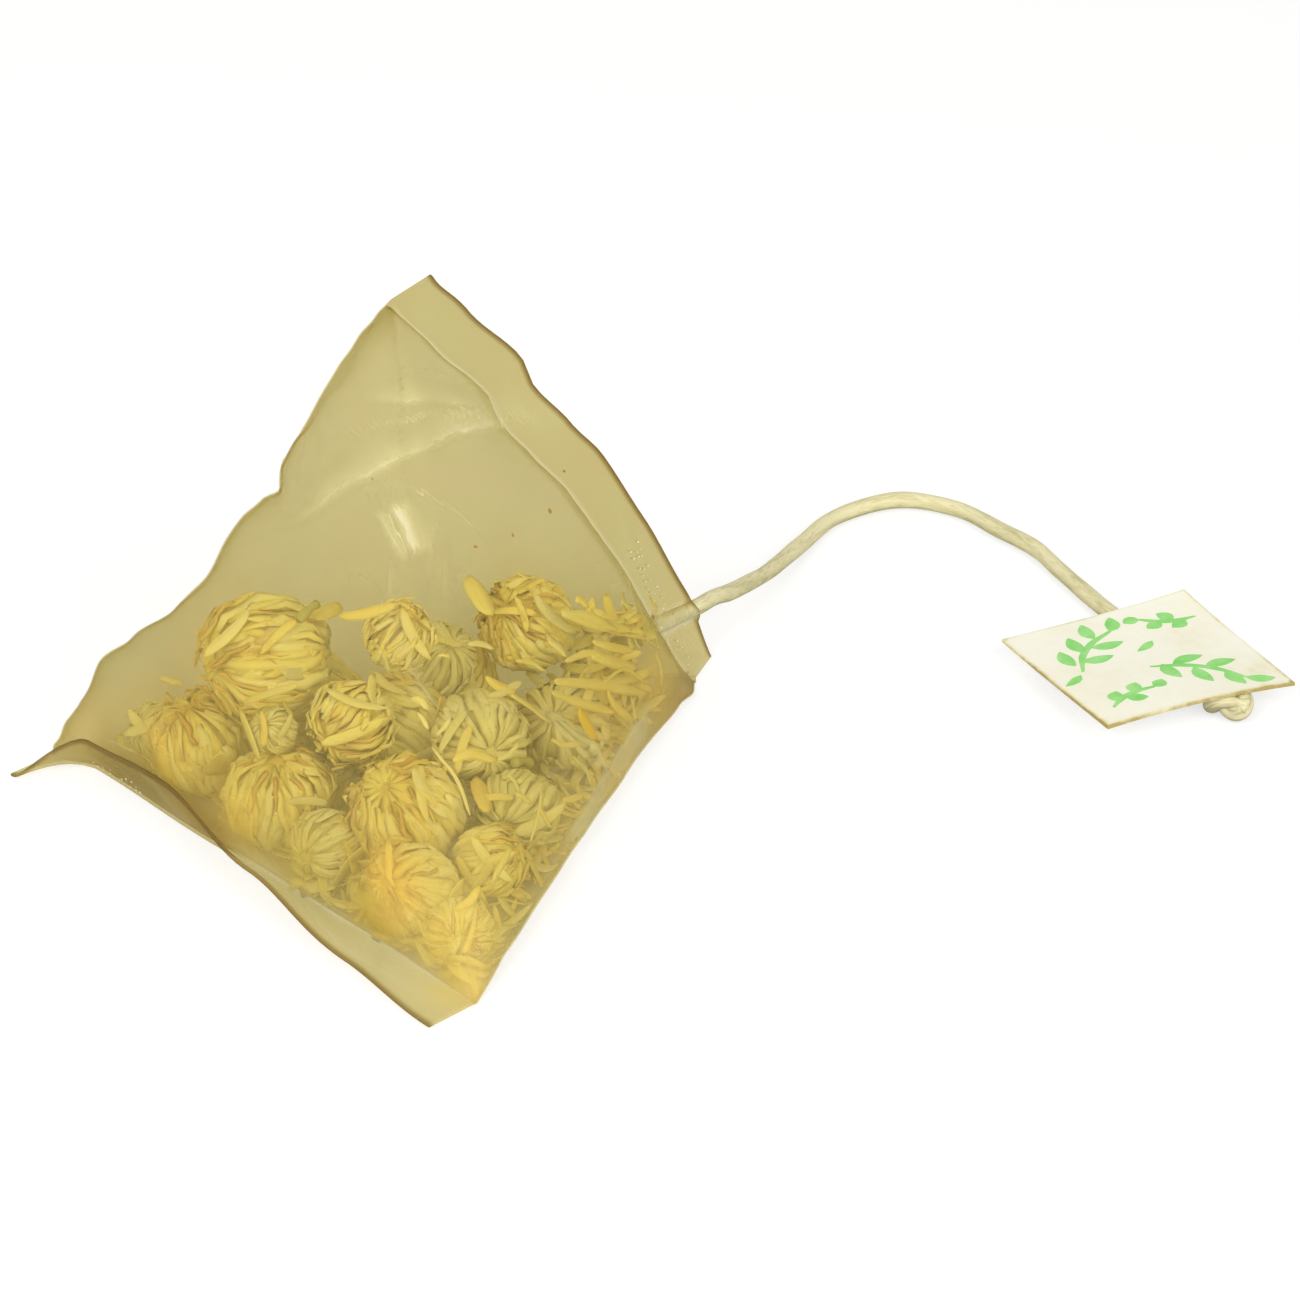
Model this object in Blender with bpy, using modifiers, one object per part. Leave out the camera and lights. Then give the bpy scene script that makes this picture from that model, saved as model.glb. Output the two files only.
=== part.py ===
# Pyramid tea bag of sealed see-through film, filled with dried chrysanthemum heads,
# with its thread, knot and paper tag, lying on a table. Metres, +Z up.
# The origin is the middle of the base, and +X points at the corner where the thread comes out.
import math

import bmesh
import bpy
import numpy as np
from mathutils import Matrix, Vector
from mathutils.bvhtree import BVHTree

# The bag: a film tube pressed flat and sealed at one end, then across that at the other
SEAM_LENGTH = 0.058
TUBE_LENGTH = 0.052
FILM_WALL = 0.0003
STRING_FIN_WIDTH = 0.0042
TABLE_FIN_WIDTH = 0.0047
FIN_THICKNESS = 0.0006
CLEARANCE = 0.0003

# How far each side of the bag is pushed out at its middle
FRONT_BULGE = 0.0034
RIGHT_BULGE = 0.0024
REAR_BULGE = 0.0014

# Dents and swells of the soft folds: share of the way from the table seam, outward shift
FRONT_FOLD_SHAPE = ((0.0, 0.0), (0.3, 0.0012), (0.62, -0.0006), (0.8, 0.0006), (1.0, 0.0))
LEFT_FOLD_SHAPE = (
    (0.0, 0.0),
    (0.07, 0.0026),
    (0.2, 0.0040),
    (0.31, 0.0022),
    (0.43, 0.0006),
    (0.53, 0.0009),
    (0.63, -0.0004),
    (0.75, 0.0019),
    (0.88, 0.0022),
    (0.95, 0.0017),
    (1.0, 0.0),
)
REAR_FOLD_SHAPE = ((0.0, 0.0), (0.5, 0.0018), (1.0, 0.0))
RIGHT_FOLD_SHAPE = ((0.0, 0.0), (0.2, 0.0002), (0.4, 0.0010), (0.75, 0.0022), (1.0, 0.0))

# The string seam bows out, with a kink near the tip; the table seam is drawn in near its left end
STRING_SEAM_BOW = ((0.0, 0.0), (0.24, 0.0019), (0.31, 0.0013), (0.5, 0.0023), (0.7, 0.0020), (1.0, 0.0))
STRING_SEAM_LEAN = 0.0012
TABLE_SEAM_DRAWN_IN = ((0.0, 0.0), (0.25, 0.0006), (0.6, 0.0011), (0.92, 0.0018), (1.0, 0.0))
STRING_FIN_END = 0.008
# The table fin lies flat at its right end, stands up near its left one and ends as a flat tail:
# how far it turns up, as a share of the angle between the table and the bag's front
TABLE_FIN_TURN = ((0.0, 0.0), (0.2, 0.11), (0.45, 0.36), (0.72, 0.66), (0.9, 0.58), (1.0, 0.0))

# Mesh fineness of the film
SIDE_STEPS = 8
TUBE_STEPS = 15
TUBE_START = 0.02
INNER_START = 0.026

# The thread, sealed in the string seam near the table
THREAD_DIAMETER = 0.0016
EXIT_HEIGHT = 0.0062
TAIL_INSIDE = 0.005
SLEEVE_WALL = 0.0003
THREAD_SIDES_RESOLUTION = 2
THREAD_POINT_SPACING = 0.0036
# Places that the free thread passes, as it lies on the table in one wide bend towards the tag
THREAD_ROUTE = (
    (0.0403, 0.0010, 0.0056),
    (0.0433, 0.0020, 0.0046),
    (0.0479, 0.0040, 0.0032),
    (0.0524, 0.0058, 0.0021),
    (0.0596, 0.0088, 0.0011),
    (0.0658, 0.0108, 0.00083),
    (0.0710, 0.0103, 0.00083),
    (0.0746, 0.0082, 0.00083),
    (0.0766, 0.0031, 0.00083),
    (0.0762, -0.0027, 0.00083),
    (0.0758, -0.0078, 0.00083),
    (0.0741, -0.0126, 0.00083),
    (0.0715, -0.0202, 0.00083),
    (0.0693, -0.0281, 0.00083),
    (0.0675, -0.0345, 0.00083),
)

# The knot at the thread's end, half under the edge of the tag
KNOT_CENTRE = (0.0652, -0.0416, 0.00145)
KNOT_LENGTH = 0.0052
KNOT_WIDTH = 0.0042
KNOT_HEIGHT = 0.0028

# The tag lies on the thread at one edge and on the knot at the other
TAG_SIDE = 0.020
TAG_THICKNESS = 0.0004
TAG_CENTRE = (0.0642, -0.0325)
TAG_TURN = -18.4
TAG_CORNER_RADIUS = 0.0004

# Flower heads: start place before they settle as shares of the bag's length, width and height,
# width, where the crown points in degrees around from +X and degrees up, and how readily
# the head gives way to others
HEADS = (
    (-0.112, 0.184, 0.308, 0.0110, 200.0, 30.0, 0.2),
    (-0.206, 0.247, 0.104, 0.0092, 215.0, 10.0, 0.2),
    (-0.125, 0.014, 0.247, 0.0092, 228.0, 35.0, 0.2),
    (-0.200, 0.048, 0.100, 0.0084, 250.0, -35.0, 0.2),
    (-0.144, -0.164, 0.181, 0.0096, 240.0, 40.0, 0.2),
    (-0.212, -0.259, 0.087, 0.0078, 205.0, 35.0, 0.2),
    (0.304, 0.000, 0.254, 0.0106, 270.0, 60.0, 0.2),
    (-0.038, -0.017, 0.416, 0.0092, 180.0, 50.0, 0.2),
    (0.062, -0.129, 0.220, 0.0088, 60.0, -20.0, 0.3),
    (0.287, -0.095, 0.096, 0.0082, 45.0, 10.0, 0.3),
    (0.040, -0.181, 0.091, 0.0074, 90.0, 20.0, 0.3),
    (-0.254, -0.105, 0.071, 0.0062, 30.0, -10.0, 0.4),
    (-0.115, -0.279, 0.071, 0.0062, 300.0, 30.0, 0.4),
    (-0.279, -0.383, 0.058, 0.0052, 230.0, 20.0, 0.4),
    (0.452, -0.022, 0.079, 0.0068, 280.0, 30.0, 0.4),
    (0.096, 0.060, 0.125, 0.0104, 120.0, 30.0, 1.0),
    (-0.038, 0.224, 0.125, 0.0100, 100.0, 10.0, 1.0),
    (0.119, 0.095, 0.333, 0.0100, 90.0, 50.0, 1.0),
    (0.260, 0.078, 0.116, 0.0090, 60.0, 20.0, 1.0),
    (-0.212, 0.362, 0.083, 0.0066, 140.0, 30.0, 0.6),
    (-0.231, 0.086, 0.249, 0.0052, 190.0, 40.0, 1.0),)

# Loose petals and stem bits: start place in the same shares, length, heading from +X, kind
PETAL_WIDTH = 0.0019
PETAL_THICKNESS = 0.00035
STEM_DIAMETER = 0.0009
BITS = (
    (-0.038, 0.138, 0.499, 0.0060, 20.0, "petal"),
    (0.192, 0.000, 0.499, 0.0062, 80.0, "petal"),
    (0.365, -0.060, 0.229, 0.0058, 10.0, "petal"),
    (0.423, -0.034, 0.208, 0.0052, 320.0, "petal"),
    (0.154, -0.121, 0.312, 0.0060, 340.0, "petal"),
    (-0.038, -0.207, 0.270, 0.0056, 60.0, "petal"),
    (0.154, -0.164, 0.125, 0.0062, 330.0, "petal"),
    (-0.269, 0.103, 0.229, 0.0056, 120.0, "petal"),
    (-0.096, 0.103, 0.541, 0.0050, 200.0, "stem"),
    (0.077, -0.172, 0.249, 0.0060, 30.0, "stem"),)
BEADS_IN_BIT = 3

# Settling: the contents are let down in small steps and pushed clear of each other and the film
SETTLE_STEPS = 260
SETTLE_DROP = 0.00005
SETTLE_PUSHES = 10
FINAL_PUSHES = 500

# A head's outline from crown to stub, as shares of its half width
HEAD_PROFILE = (
    (0.0, 0.93),
    (0.46, 0.84),
    (0.82, 0.54),
    (0.99, 0.08),
    (0.86, -0.44),
    (0.50, -0.80),
    (0.22, -0.93),
    (0.17, -0.98),
    (0.0, -0.98),
)
HEAD_SIDES = 12


def srgb(code):
    """A colour given as a hex code, in linear numbers."""
    channels = [int(code[i : i + 2], 16) / 255.0 for i in (0, 2, 4)]
    linear = [c / 12.92 if c <= 0.04045 else ((c + 0.055) / 1.055) ** 2.4 for c in channels]
    return (*linear, 1.0)


def material(name, code, roughness, alpha=1.0, sheen=0.0):
    """A plain material of one colour."""
    made = bpy.data.materials.new(name)
    made.use_nodes = True
    shader = made.node_tree.nodes["Principled BSDF"]
    shader.inputs["Base Color"].default_value = srgb(code)
    shader.inputs["Roughness"].default_value = roughness
    shader.inputs["Metallic"].default_value = 0.0
    shader.inputs["Alpha"].default_value = alpha
    shader.inputs["Sheen Weight"].default_value = sheen
    return made


def through(shape, share):
    """The value at a share of the way along, smooth between the shape's points."""
    for (start, low), (end, high) in zip(shape, shape[1:]):
        if share <= end:
            part = (share - start) / (end - start)
            return low + (high - low) * part * part * (3 - 2 * part)
    return shape[-1][1]


def corner_places():
    """The bag's four sharp corners: tip, thread corner, right and left corner on the table."""
    rise = (2 * TUBE_LENGTH**2 - SEAM_LENGTH**2) / (2 * TUBE_LENGTH)
    height = math.sqrt(TUBE_LENGTH**2 - rise**2)
    rear = -TUBE_LENGTH / 3
    tip = Vector((rear + rise, 0, height))
    string = Vector((2 * TUBE_LENGTH / 3, 0, 0))
    right = Vector((rear, -SEAM_LENGTH / 2, 0))
    left = Vector((rear, SEAM_LENGTH / 2, 0))
    return tip, string, right, left


TIP, STRING_CORNER, RIGHT_CORNER, LEFT_CORNER = corner_places()
TUBE_AXIS = ((TIP + STRING_CORNER) / 2 - (RIGHT_CORNER + LEFT_CORNER) / 2).normalized()
FRONT_ANGLE = math.pi - math.atan2(TIP.z, TIP.x - RIGHT_CORNER.x)


def string_seam(share):
    """A place on the string seam, from the tip to the thread corner."""
    lean = -STRING_SEAM_LEAN * 4 * share * (1 - share)
    return TIP.lerp(STRING_CORNER, share) + TUBE_AXIS * through(STRING_SEAM_BOW, share) + Vector((0, lean, 0))


def table_fin_frame(share):
    """The table seam's place, the way its fin points and the fin's upper normal, from right to left."""
    turn = FRONT_ANGLE * through(TABLE_FIN_TURN, share)
    along = Vector((-math.cos(turn), 0, math.sin(turn)))
    normal = Vector((math.sin(turn), 0, math.cos(turn)))
    place = RIGHT_CORNER.lerp(LEFT_CORNER, share)
    place.x += through(TABLE_SEAM_DRAWN_IN, share)
    place.z += FIN_THICKNESS / 2 * math.cos(turn)
    return place, along, normal


def section_corners(t, inset):
    """The four folds at share t of the way from the table seam to the string seam."""
    straight = [
        RIGHT_CORNER.lerp(TIP, t),
        LEFT_CORNER.lerp(TIP, t),
        LEFT_CORNER.lerp(STRING_CORNER, t),
        RIGHT_CORNER.lerp(STRING_CORNER, t),
    ]
    shapes = (FRONT_FOLD_SHAPE, LEFT_FOLD_SHAPE, REAR_FOLD_SHAPE, RIGHT_FOLD_SHAPE)
    middle = sum(straight, Vector()) / 4
    corners = []
    for place, shape, on_table in zip(straight, shapes, (False, False, True, True)):
        outward = place - middle
        if on_table:
            outward.z = 0
        corners.append(place + outward.normalized() * through(shape, t))
    if inset:
        inner = []
        for i, place in enumerate(corners):
            to_next = (corners[(i + 1) % 4] - place).normalized()
            to_last = (corners[i - 1] - place).normalized()
            inner.append(place + (to_next + to_last) * inset)
        corners = inner
    return corners


def section(t, inset=0.0):
    """One ring of the film tube: front, left rear, base and right side, SIDE_STEPS points each."""
    corners = section_corners(t, inset)
    middle = sum(corners, Vector()) / 4
    bulges = (FRONT_BULGE, REAR_BULGE, 0.0, RIGHT_BULGE)
    near_table = max(0.0, 1 - t / 0.4) ** 2
    near_string = max(0.0, 1 - (1 - t) / 0.4) ** 2
    ring = []
    for side in range(4):
        start, end = corners[side], corners[(side + 1) % 4]
        outward = ((start + end) / 2 - middle).normalized()
        for step in range(SIDE_STEPS):
            share = step / SIDE_STEPS
            place = start.lerp(end, share)
            fullness = math.sin(math.pi * t) ** 0.6 * 4 * share * (1 - share)
            place += outward * bulges[side] * fullness
            if side in (0, 2):
                along = share if side == 0 else 1 - share
                place.x += through(TABLE_SEAM_DRAWN_IN, along) * near_table
            else:
                along = share if side == 1 else 1 - share
                bow = string_seam(along) - TIP.lerp(STRING_CORNER, along)
                place += bow * near_string
            ring.append(place)
    return softened(ring) if inset or 0.05 < t < 0.95 else ring


def softened(ring):
    """The ring with its four corners drawn in, so that the folds are round."""
    made = list(ring)
    for corner in range(0, len(ring), SIDE_STEPS):
        last, following = ring[corner - 1], ring[corner + 1]
        made[corner] = ring[corner] * 0.7 + (last + following) * 0.15
    return made


def fin_faces(frame_at, width):
    """The two faces of a sealed fin at that distance from the seam, and its rounded ends."""
    upper, lower = [], []
    for step in range(SIDE_STEPS + 1):
        place, along, normal = frame_at(step / SIDE_STEPS)
        middle = place + along * width
        upper.append(middle + normal * (FIN_THICKNESS / 2))
        lower.append(middle - normal * (FIN_THICKNESS / 2))
    ends = []
    for first, last in ((upper[-1], lower[-1]), (lower[0], upper[0])):
        middle = (first + last) / 2
        outward = middle - (upper[4] + lower[4]) / 2
        outward = outward.normalized() * (FIN_THICKNESS / 2)
        end = []
        for step in range(SIDE_STEPS):
            turn = math.pi * step / SIDE_STEPS
            end.append(middle + (first - middle) * math.cos(turn) + outward * math.sin(turn))
        ends.append(end)
    return upper, lower, *ends


def table_fin_ring(width):
    """The table fin's ring: its upper face is the front side, its lower face the base."""
    upper, lower, left, right = fin_faces(table_fin_frame, width)
    return upper[:-1] + left + lower[:0:-1] + right


def string_fin_ring(width):
    """The string fin's ring: its left face is the rear side, its right face the right side."""

    def frame(share):
        kept = STRING_FIN_END + share * (1 - 2 * STRING_FIN_END)
        return string_seam(kept), TUBE_AXIS, Vector((0, 1, 0))

    left_face, right_face, foot, top = fin_faces(frame, width)
    return top + left_face[:-1] + foot + right_face[:0:-1]


def loft(name, rings):
    """A closed mesh object through rings of equal count, with flat ends."""
    shape = bmesh.new()
    rows = [[shape.verts.new(place) for place in ring] for ring in rings]
    count = len(rows[0])
    for row, following in zip(rows, rows[1:]):
        for i in range(count):
            j = (i + 1) % count
            shape.faces.new((row[i], following[i], following[j], row[j]))
    if name == "hollow":
        shape.faces.new(rows[0])
        shape.faces.new(rows[-1])
    else:
        close_flat_end(shape, rows[0], 3 * SIDE_STEPS + SIDE_STEPS // 2)
        close_flat_end(shape, rows[-1], SIDE_STEPS // 2)
    bmesh.ops.triangulate(shape, faces=shape.faces[:])
    bmesh.ops.recalc_face_normals(shape, faces=shape.faces[:])
    mesh = bpy.data.meshes.new(name)
    shape.to_mesh(mesh)
    shape.free()
    return bpy.data.objects.new(name, mesh)


def close_flat_end(shape, ring, start):
    """Faces across the narrow end of a tube, from the middle of one short side to the other."""
    count = len(ring)
    for step in range(count // 2):
        corners = [ring[(start + step) % count], ring[(start + step + 1) % count]]
        corners += [ring[(start - step - 1) % count], ring[(start - step) % count]]
        unlike = [v for k, v in enumerate(corners) if v not in corners[:k]]
        if len(unlike) > 2:
            shape.faces.new(unlike)


def tube_shares(start):
    """Shares along the tube, closer together towards both seams."""
    steps = [(1 - math.cos(math.pi * k / TUBE_STEPS)) / 2 for k in range(TUBE_STEPS + 1)]
    return [start + (1 - 2 * start) * share for share in steps]


def outer_film():
    """The bag's outside with both fins."""
    rings = [table_fin_ring(TABLE_FIN_WIDTH), table_fin_ring(0.0)]
    rings += [section(t) for t in tube_shares(TUBE_START)]
    rings += [string_fin_ring(0.0), string_fin_ring(STRING_FIN_WIDTH)]
    return loft("bag_film", rings)


def inner_film():
    """The hollow inside the bag, one wall smaller all round."""
    half_angle = math.atan2(SEAM_LENGTH, 2 * math.sqrt(TUBE_LENGTH**2 - SEAM_LENGTH**2 / 4))
    inset = FILM_WALL / math.cos(half_angle)
    return loft("hollow", [section(t, inset) for t in tube_shares(INNER_START)])


def cylinder(name, radius, start, end, sides):
    """A cylinder between two places."""
    shape = bmesh.new()
    span = Vector(end) - Vector(start)
    turn = span.to_track_quat("Z", "Y").to_matrix().to_4x4()
    place = Matrix.Translation((Vector(start) + Vector(end)) / 2) @ turn
    bmesh.ops.create_cone(
        shape,
        cap_ends=True,
        segments=sides,
        radius1=radius,
        radius2=radius,
        depth=span.length,
        matrix=place,
    )
    mesh = bpy.data.meshes.new(name)
    shape.to_mesh(mesh)
    shape.free()
    return bpy.data.objects.new(name, mesh)


def seam_x(height):
    """How far out the string seam is at a height, near the thread corner."""
    share = 1 - height / TIP.z
    return string_seam(share).x


def cut(target, cutter, operation):
    """A Boolean between two objects."""
    step = target.modifiers.new(cutter.name, "BOOLEAN")
    step.operation = operation
    step.object = cutter


def exit_points():
    """The start of the thread inside the bag, and where it leaves the edge of the fin."""
    seam = seam_x(EXIT_HEIGHT)
    inner = Vector((seam - TAIL_INSIDE, 0, EXIT_HEIGHT))
    outer = Vector((seam + STRING_FIN_WIDTH / TUBE_AXIS.x, 0, EXIT_HEIGHT))
    return inner, outer


def smooth_line(places, spacing):
    """Points at even spacing on a smooth curve through the places."""
    curve = [Vector(place) for place in places]
    padded = [curve[0] * 2 - curve[1], *curve, curve[-1] * 2 - curve[-2]]
    fine = []
    for a, b, c, d in zip(padded, padded[1:], padded[2:], padded[3:]):
        for step in range(12):
            u = step / 12
            fine.append(
                0.5
                * (
                    2 * b
                    + (c - a) * u
                    + (2 * a - 5 * b + 4 * c - d) * u**2
                    + (3 * b - a - 3 * c + d) * u**3
                )
            )
    fine.append(curve[-1])
    lengths = [0.0]
    for last, following in zip(fine, fine[1:]):
        lengths.append(lengths[-1] + (following - last).length)
    count = max(2, round(lengths[-1] / spacing))
    made = []
    for k in range(count + 1):
        want = lengths[-1] * k / count
        i = max(1, min(len(fine) - 1, int(np.searchsorted(lengths, want))))
        part = (want - lengths[i - 1]) / max(lengths[i] - lengths[i - 1], 1e-9)
        made.append(fine[i - 1].lerp(fine[i], part))
    return made


def thread_line():
    """Points along the thread: straight through its passage, then free to just before the knot."""
    inner, outer = exit_points()
    mouth = outer + Vector((THREAD_DIAMETER / 2, 0, 0))
    knot_place = Vector(KNOT_CENTRE)
    last = Vector(THREAD_ROUTE[-1])
    heading = (knot_place - last) * Vector((1, 1, 0))
    end = knot_place - heading.normalized() * (KNOT_LENGTH / 2 + CLEARANCE)
    end.z = last.z
    free = smooth_line([mouth, *THREAD_ROUTE, end], THREAD_POINT_SPACING)
    return [inner, (inner + mouth) / 2, *free]


def thread_tube(collection):
    """The thread, from its end inside the bag to the knot."""
    line = thread_line()
    curve = bpy.data.curves.new("thread", "CURVE")
    curve.dimensions = "3D"
    curve.bevel_depth = THREAD_DIAMETER / 2
    curve.bevel_resolution = THREAD_SIDES_RESOLUTION
    curve.use_fill_caps = True
    spline = curve.splines.new("POLY")
    spline.points.add(len(line) - 1)
    for point, place in zip(spline.points, line):
        point.co = (*place, 1)
    thread = bpy.data.objects.new("thread", curve)
    thread.data.materials.append(material("cotton_thread", "DAD4AB", 0.9, sheen=0.3))
    collection.objects.link(thread)
    return line


def knot(collection, line):
    """The overhand knot as one rounded lump, just past the thread's end."""
    heading = Vector(KNOT_CENTRE) - line[-1]
    turn = math.atan2(heading.y, heading.x)
    shape = bmesh.new()
    bmesh.ops.create_uvsphere(shape, u_segments=14, v_segments=10, radius=0.5)
    size = Matrix.Diagonal((KNOT_LENGTH, KNOT_WIDTH, KNOT_HEIGHT, 1))
    place = Matrix.Translation(KNOT_CENTRE) @ Matrix.Rotation(turn, 4, "Z") @ size
    bmesh.ops.transform(shape, matrix=place, verts=shape.verts[:])
    mesh = bpy.data.meshes.new("thread_knot")
    shape.to_mesh(mesh)
    shape.free()
    mesh.shade_smooth()
    lump = bpy.data.objects.new("thread_knot", mesh)
    lump.data.materials.append(material("knotted_thread", "DDD8B3", 0.9, sheen=0.3))
    collection.objects.link(lump)


def tag(collection):
    """The square paper tag, resting on the thread at its far edge and on the knot at its near one."""
    near = KNOT_CENTRE[2] + KNOT_HEIGHT / 2 + CLEARANCE
    far = THREAD_ROUTE[-1][2] + THREAD_DIAMETER / 2 + CLEARANCE
    tilt = math.asin((near - far) / TAG_SIDE)
    outline = bpy.data.curves.new("tag_outline", "CURVE")
    outline.dimensions = "2D"
    outline.fill_mode = "BOTH"
    outline.extrude = TAG_THICKNESS / 2
    spline = outline.splines.new("POLY")
    points = []
    straight = TAG_SIDE / 2 - TAG_CORNER_RADIUS
    for corner in range(4):
        angle = math.pi / 2 * corner
        centre = Matrix.Rotation(angle, 2) @ Vector((straight, straight))
        for step in range(3):
            turn = angle + math.pi / 4 * step
            points.append(centre + TAG_CORNER_RADIUS * Vector((math.cos(turn), math.sin(turn))))
    spline.points.add(len(points) - 1)
    for point, place in zip(spline.points, points):
        point.co = (*place, 0, 1)
    spline.use_cyclic_u = True
    card = bpy.data.objects.new("tag", outline)
    middle = (near + far) / 2 + TAG_THICKNESS / 2
    place = Matrix.Translation((*TAG_CENTRE, middle))
    turned = Matrix.Rotation(math.radians(TAG_TURN), 4, "Z") @ Matrix.Rotation(-tilt, 4, "X")
    card.matrix_world = place @ turned
    card.data.materials.append(material("tag_paper", "F2EDD9", 0.85))
    collection.objects.link(card)


def film(collection, cutters):
    """The film bag: outside less hollow, with the sleeve that the thread lies sealed in."""
    bag = outer_film()
    hollow = inner_film()
    inner, outer = exit_points()
    inside = Vector((seam_x(EXIT_HEIGHT) - 0.0016, 0, EXIT_HEIGHT))
    hole_radius = THREAD_DIAMETER / 2 + CLEARANCE
    step_out = Vector((0.0004, 0, 0))
    sleeve = cylinder("thread_sleeve", hole_radius + SLEEVE_WALL, inside, outer, 16)
    passage = cylinder("thread_passage", hole_radius, inner - step_out * 2, outer + step_out, 16)
    for helper in (hollow, sleeve, passage):
        helper.hide_render = True
        helper.display_type = "WIRE"
        cutters.objects.link(helper)
    cut(bag, sleeve, "UNION")
    cut(bag, hollow, "DIFFERENCE")
    cut(bag, passage, "DIFFERENCE")
    bag.data.materials.append(material("sealed_film", "C9BA82", 0.6, alpha=0.5))
    collection.objects.link(bag)
    return hollow


def place_in_bag(shares):
    """A place given as shares of the bag's length, width and height."""
    return np.array(shares) * (TUBE_LENGTH, SEAM_LENGTH, TIP.z)


def bit_beads(place, length, heading):
    """Beads along a loose petal or stem, lying level before it settles."""
    angle = math.radians(heading)
    along = np.array((math.cos(angle), math.sin(angle), 0.0))
    spread = np.linspace(-0.5, 0.5, BEADS_IN_BIT)
    inner_length = length - PETAL_WIDTH
    return [place + along * inner_length * share for share in spread]


def bit_radius(kind):
    """How thick a loose bit counts while it settles."""
    return PETAL_WIDTH * 0.35 if kind == "petal" else STEM_DIAMETER / 2


def start_beads(line):
    """Every bead's place, radius and owner; owner -1 is the thread's end, which stays put."""
    places, radii, owners, gives, links = [], [], [], [], []
    for index, (x, y, z, width, _, _, give) in enumerate(HEADS):
        places.append(place_in_bag((x, y, z)))
        radii.append(width / 2)
        owners.append(index)
        gives.append(give)
    for index, (x, y, z, length, heading, kind) in enumerate(BITS):
        first = len(places)
        for bead in bit_beads(place_in_bag((x, y, z)), length, heading):
            places.append(bead)
            radii.append(bit_radius(kind))
            owners.append(len(HEADS) + index)
            gives.append(2.0)
        gap = np.linalg.norm(places[first + 1] - places[first])
        links += [(first + k, first + k + 1, gap) for k in range(BEADS_IN_BIT - 1)]
        links.append((first, first + BEADS_IN_BIT - 1, gap * (BEADS_IN_BIT - 1) * 0.94))
    for place in line[:3]:
        places.append(np.array(place))
        radii.append(THREAD_DIAMETER / 2)
        owners.append(-1)
        gives.append(0.0)
    return np.array(places), np.array(radii), np.array(owners), np.array(gives), links


def push_apart(places, radii, gives, rows, columns):
    """Moves each pair of beads that are too near apart, each as readily as it gives way."""
    between = places[rows] - places[columns]
    far = np.linalg.norm(between, axis=1)
    lack = radii[rows] + radii[columns] + CLEARANCE - far
    for k in np.nonzero(lack > 0)[0]:
        i, j = rows[k], columns[k]
        way = between[k] / max(far[k], 1e-9)
        share = gives[i] / (gives[i] + gives[j])
        places[i] += way * lack[k] * share
        places[j] -= way * lack[k] * (1 - share)


def keep_inside(places, radii, free, wall):
    """Moves each bead back that is too near the film or outside it."""
    for i in np.nonzero(free)[0]:
        hit, normal, _, far = wall.find_nearest(Vector(places[i]))
        out = (Vector(places[i]) - hit).dot(normal) > 0
        lack = radii[i] + CLEARANCE + (far if out else -far)
        if lack > 0:
            places[i] -= np.array(normal) * lack


def keep_length(places, links):
    """Keeps the beads of a bit at their distance."""
    for i, j, length in links:
        between = places[i] - places[j]
        far = max(np.linalg.norm(between), 1e-9)
        change = between / far * (far - length) * 0.5
        places[i] -= change
        places[j] += change


def settle(hollow, line):
    """Lets the contents down inside the film and gives their resting places."""
    places, radii, owners, gives, links = start_beads(line)
    free = owners >= 0
    shape = bmesh.new()
    shape.from_mesh(hollow.data)
    wall = BVHTree.FromBMesh(shape)
    rows, columns = np.triu_indices(len(places), 1)
    unlike = owners[rows] != owners[columns]
    rows, columns = rows[unlike], columns[unlike]
    for step in range(SETTLE_STEPS):
        places[free, 2] -= SETTLE_DROP * (1 - step / SETTLE_STEPS)
        for _ in range(SETTLE_PUSHES):
            push_apart(places, radii, gives, rows, columns)
            keep_length(places, links)
            keep_inside(places, radii, free, wall)
    for _ in range(FINAL_PUSHES):
        push_apart(places, radii, gives, rows, columns)
        keep_length(places, links)
        keep_inside(places, radii, free, wall)
    shape.free()
    return places


def pointing(around, up):
    """A direction from degrees around from +X and degrees up."""
    around, up = math.radians(around), math.radians(up)
    return Vector((math.cos(around) * math.cos(up), math.sin(around) * math.cos(up), math.sin(up)))


def flower_heads(collection, places):
    """One turned solid for each flower head, crown first."""
    yellow = material("dried_flower", "D4BA60", 0.9)
    for index, (_, _, _, width, around, up, _) in enumerate(HEADS):
        name = f"flower_head_{index + 1:02d}"
        mesh = bpy.data.meshes.new(name)
        profile = [Vector((x, 0, z)) * (width / 2) for x, z in HEAD_PROFILE]
        edges = [(k, k + 1) for k in range(len(profile) - 1)]
        mesh.from_pydata(profile, edges, [])
        head = bpy.data.objects.new(name, mesh)
        turned = head.modifiers.new("turned", "SCREW")
        turned.axis = "Z"
        turned.steps = HEAD_SIDES
        turned.render_steps = HEAD_SIDES
        turned.use_merge_vertices = True
        turned.merge_threshold = 0.00001
        head.location = Vector(places[index])
        head.rotation_mode = "QUATERNION"
        head.rotation_quaternion = pointing(around, up).to_track_quat("Z", "Y")
        head.data.materials.append(yellow)
        collection.objects.link(head)


def petal_rows(line, side_way):
    """Rows of points across a petal, narrow at its foot and round at its end."""
    shares = (0.28, 0.42, 0.5, 0.46, 0.24)
    rows = []
    for place, share in zip(line, shares):
        half = side_way * PETAL_WIDTH * share * 0.8
        rows.append((place - half, place, place + half))
    return rows


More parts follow.
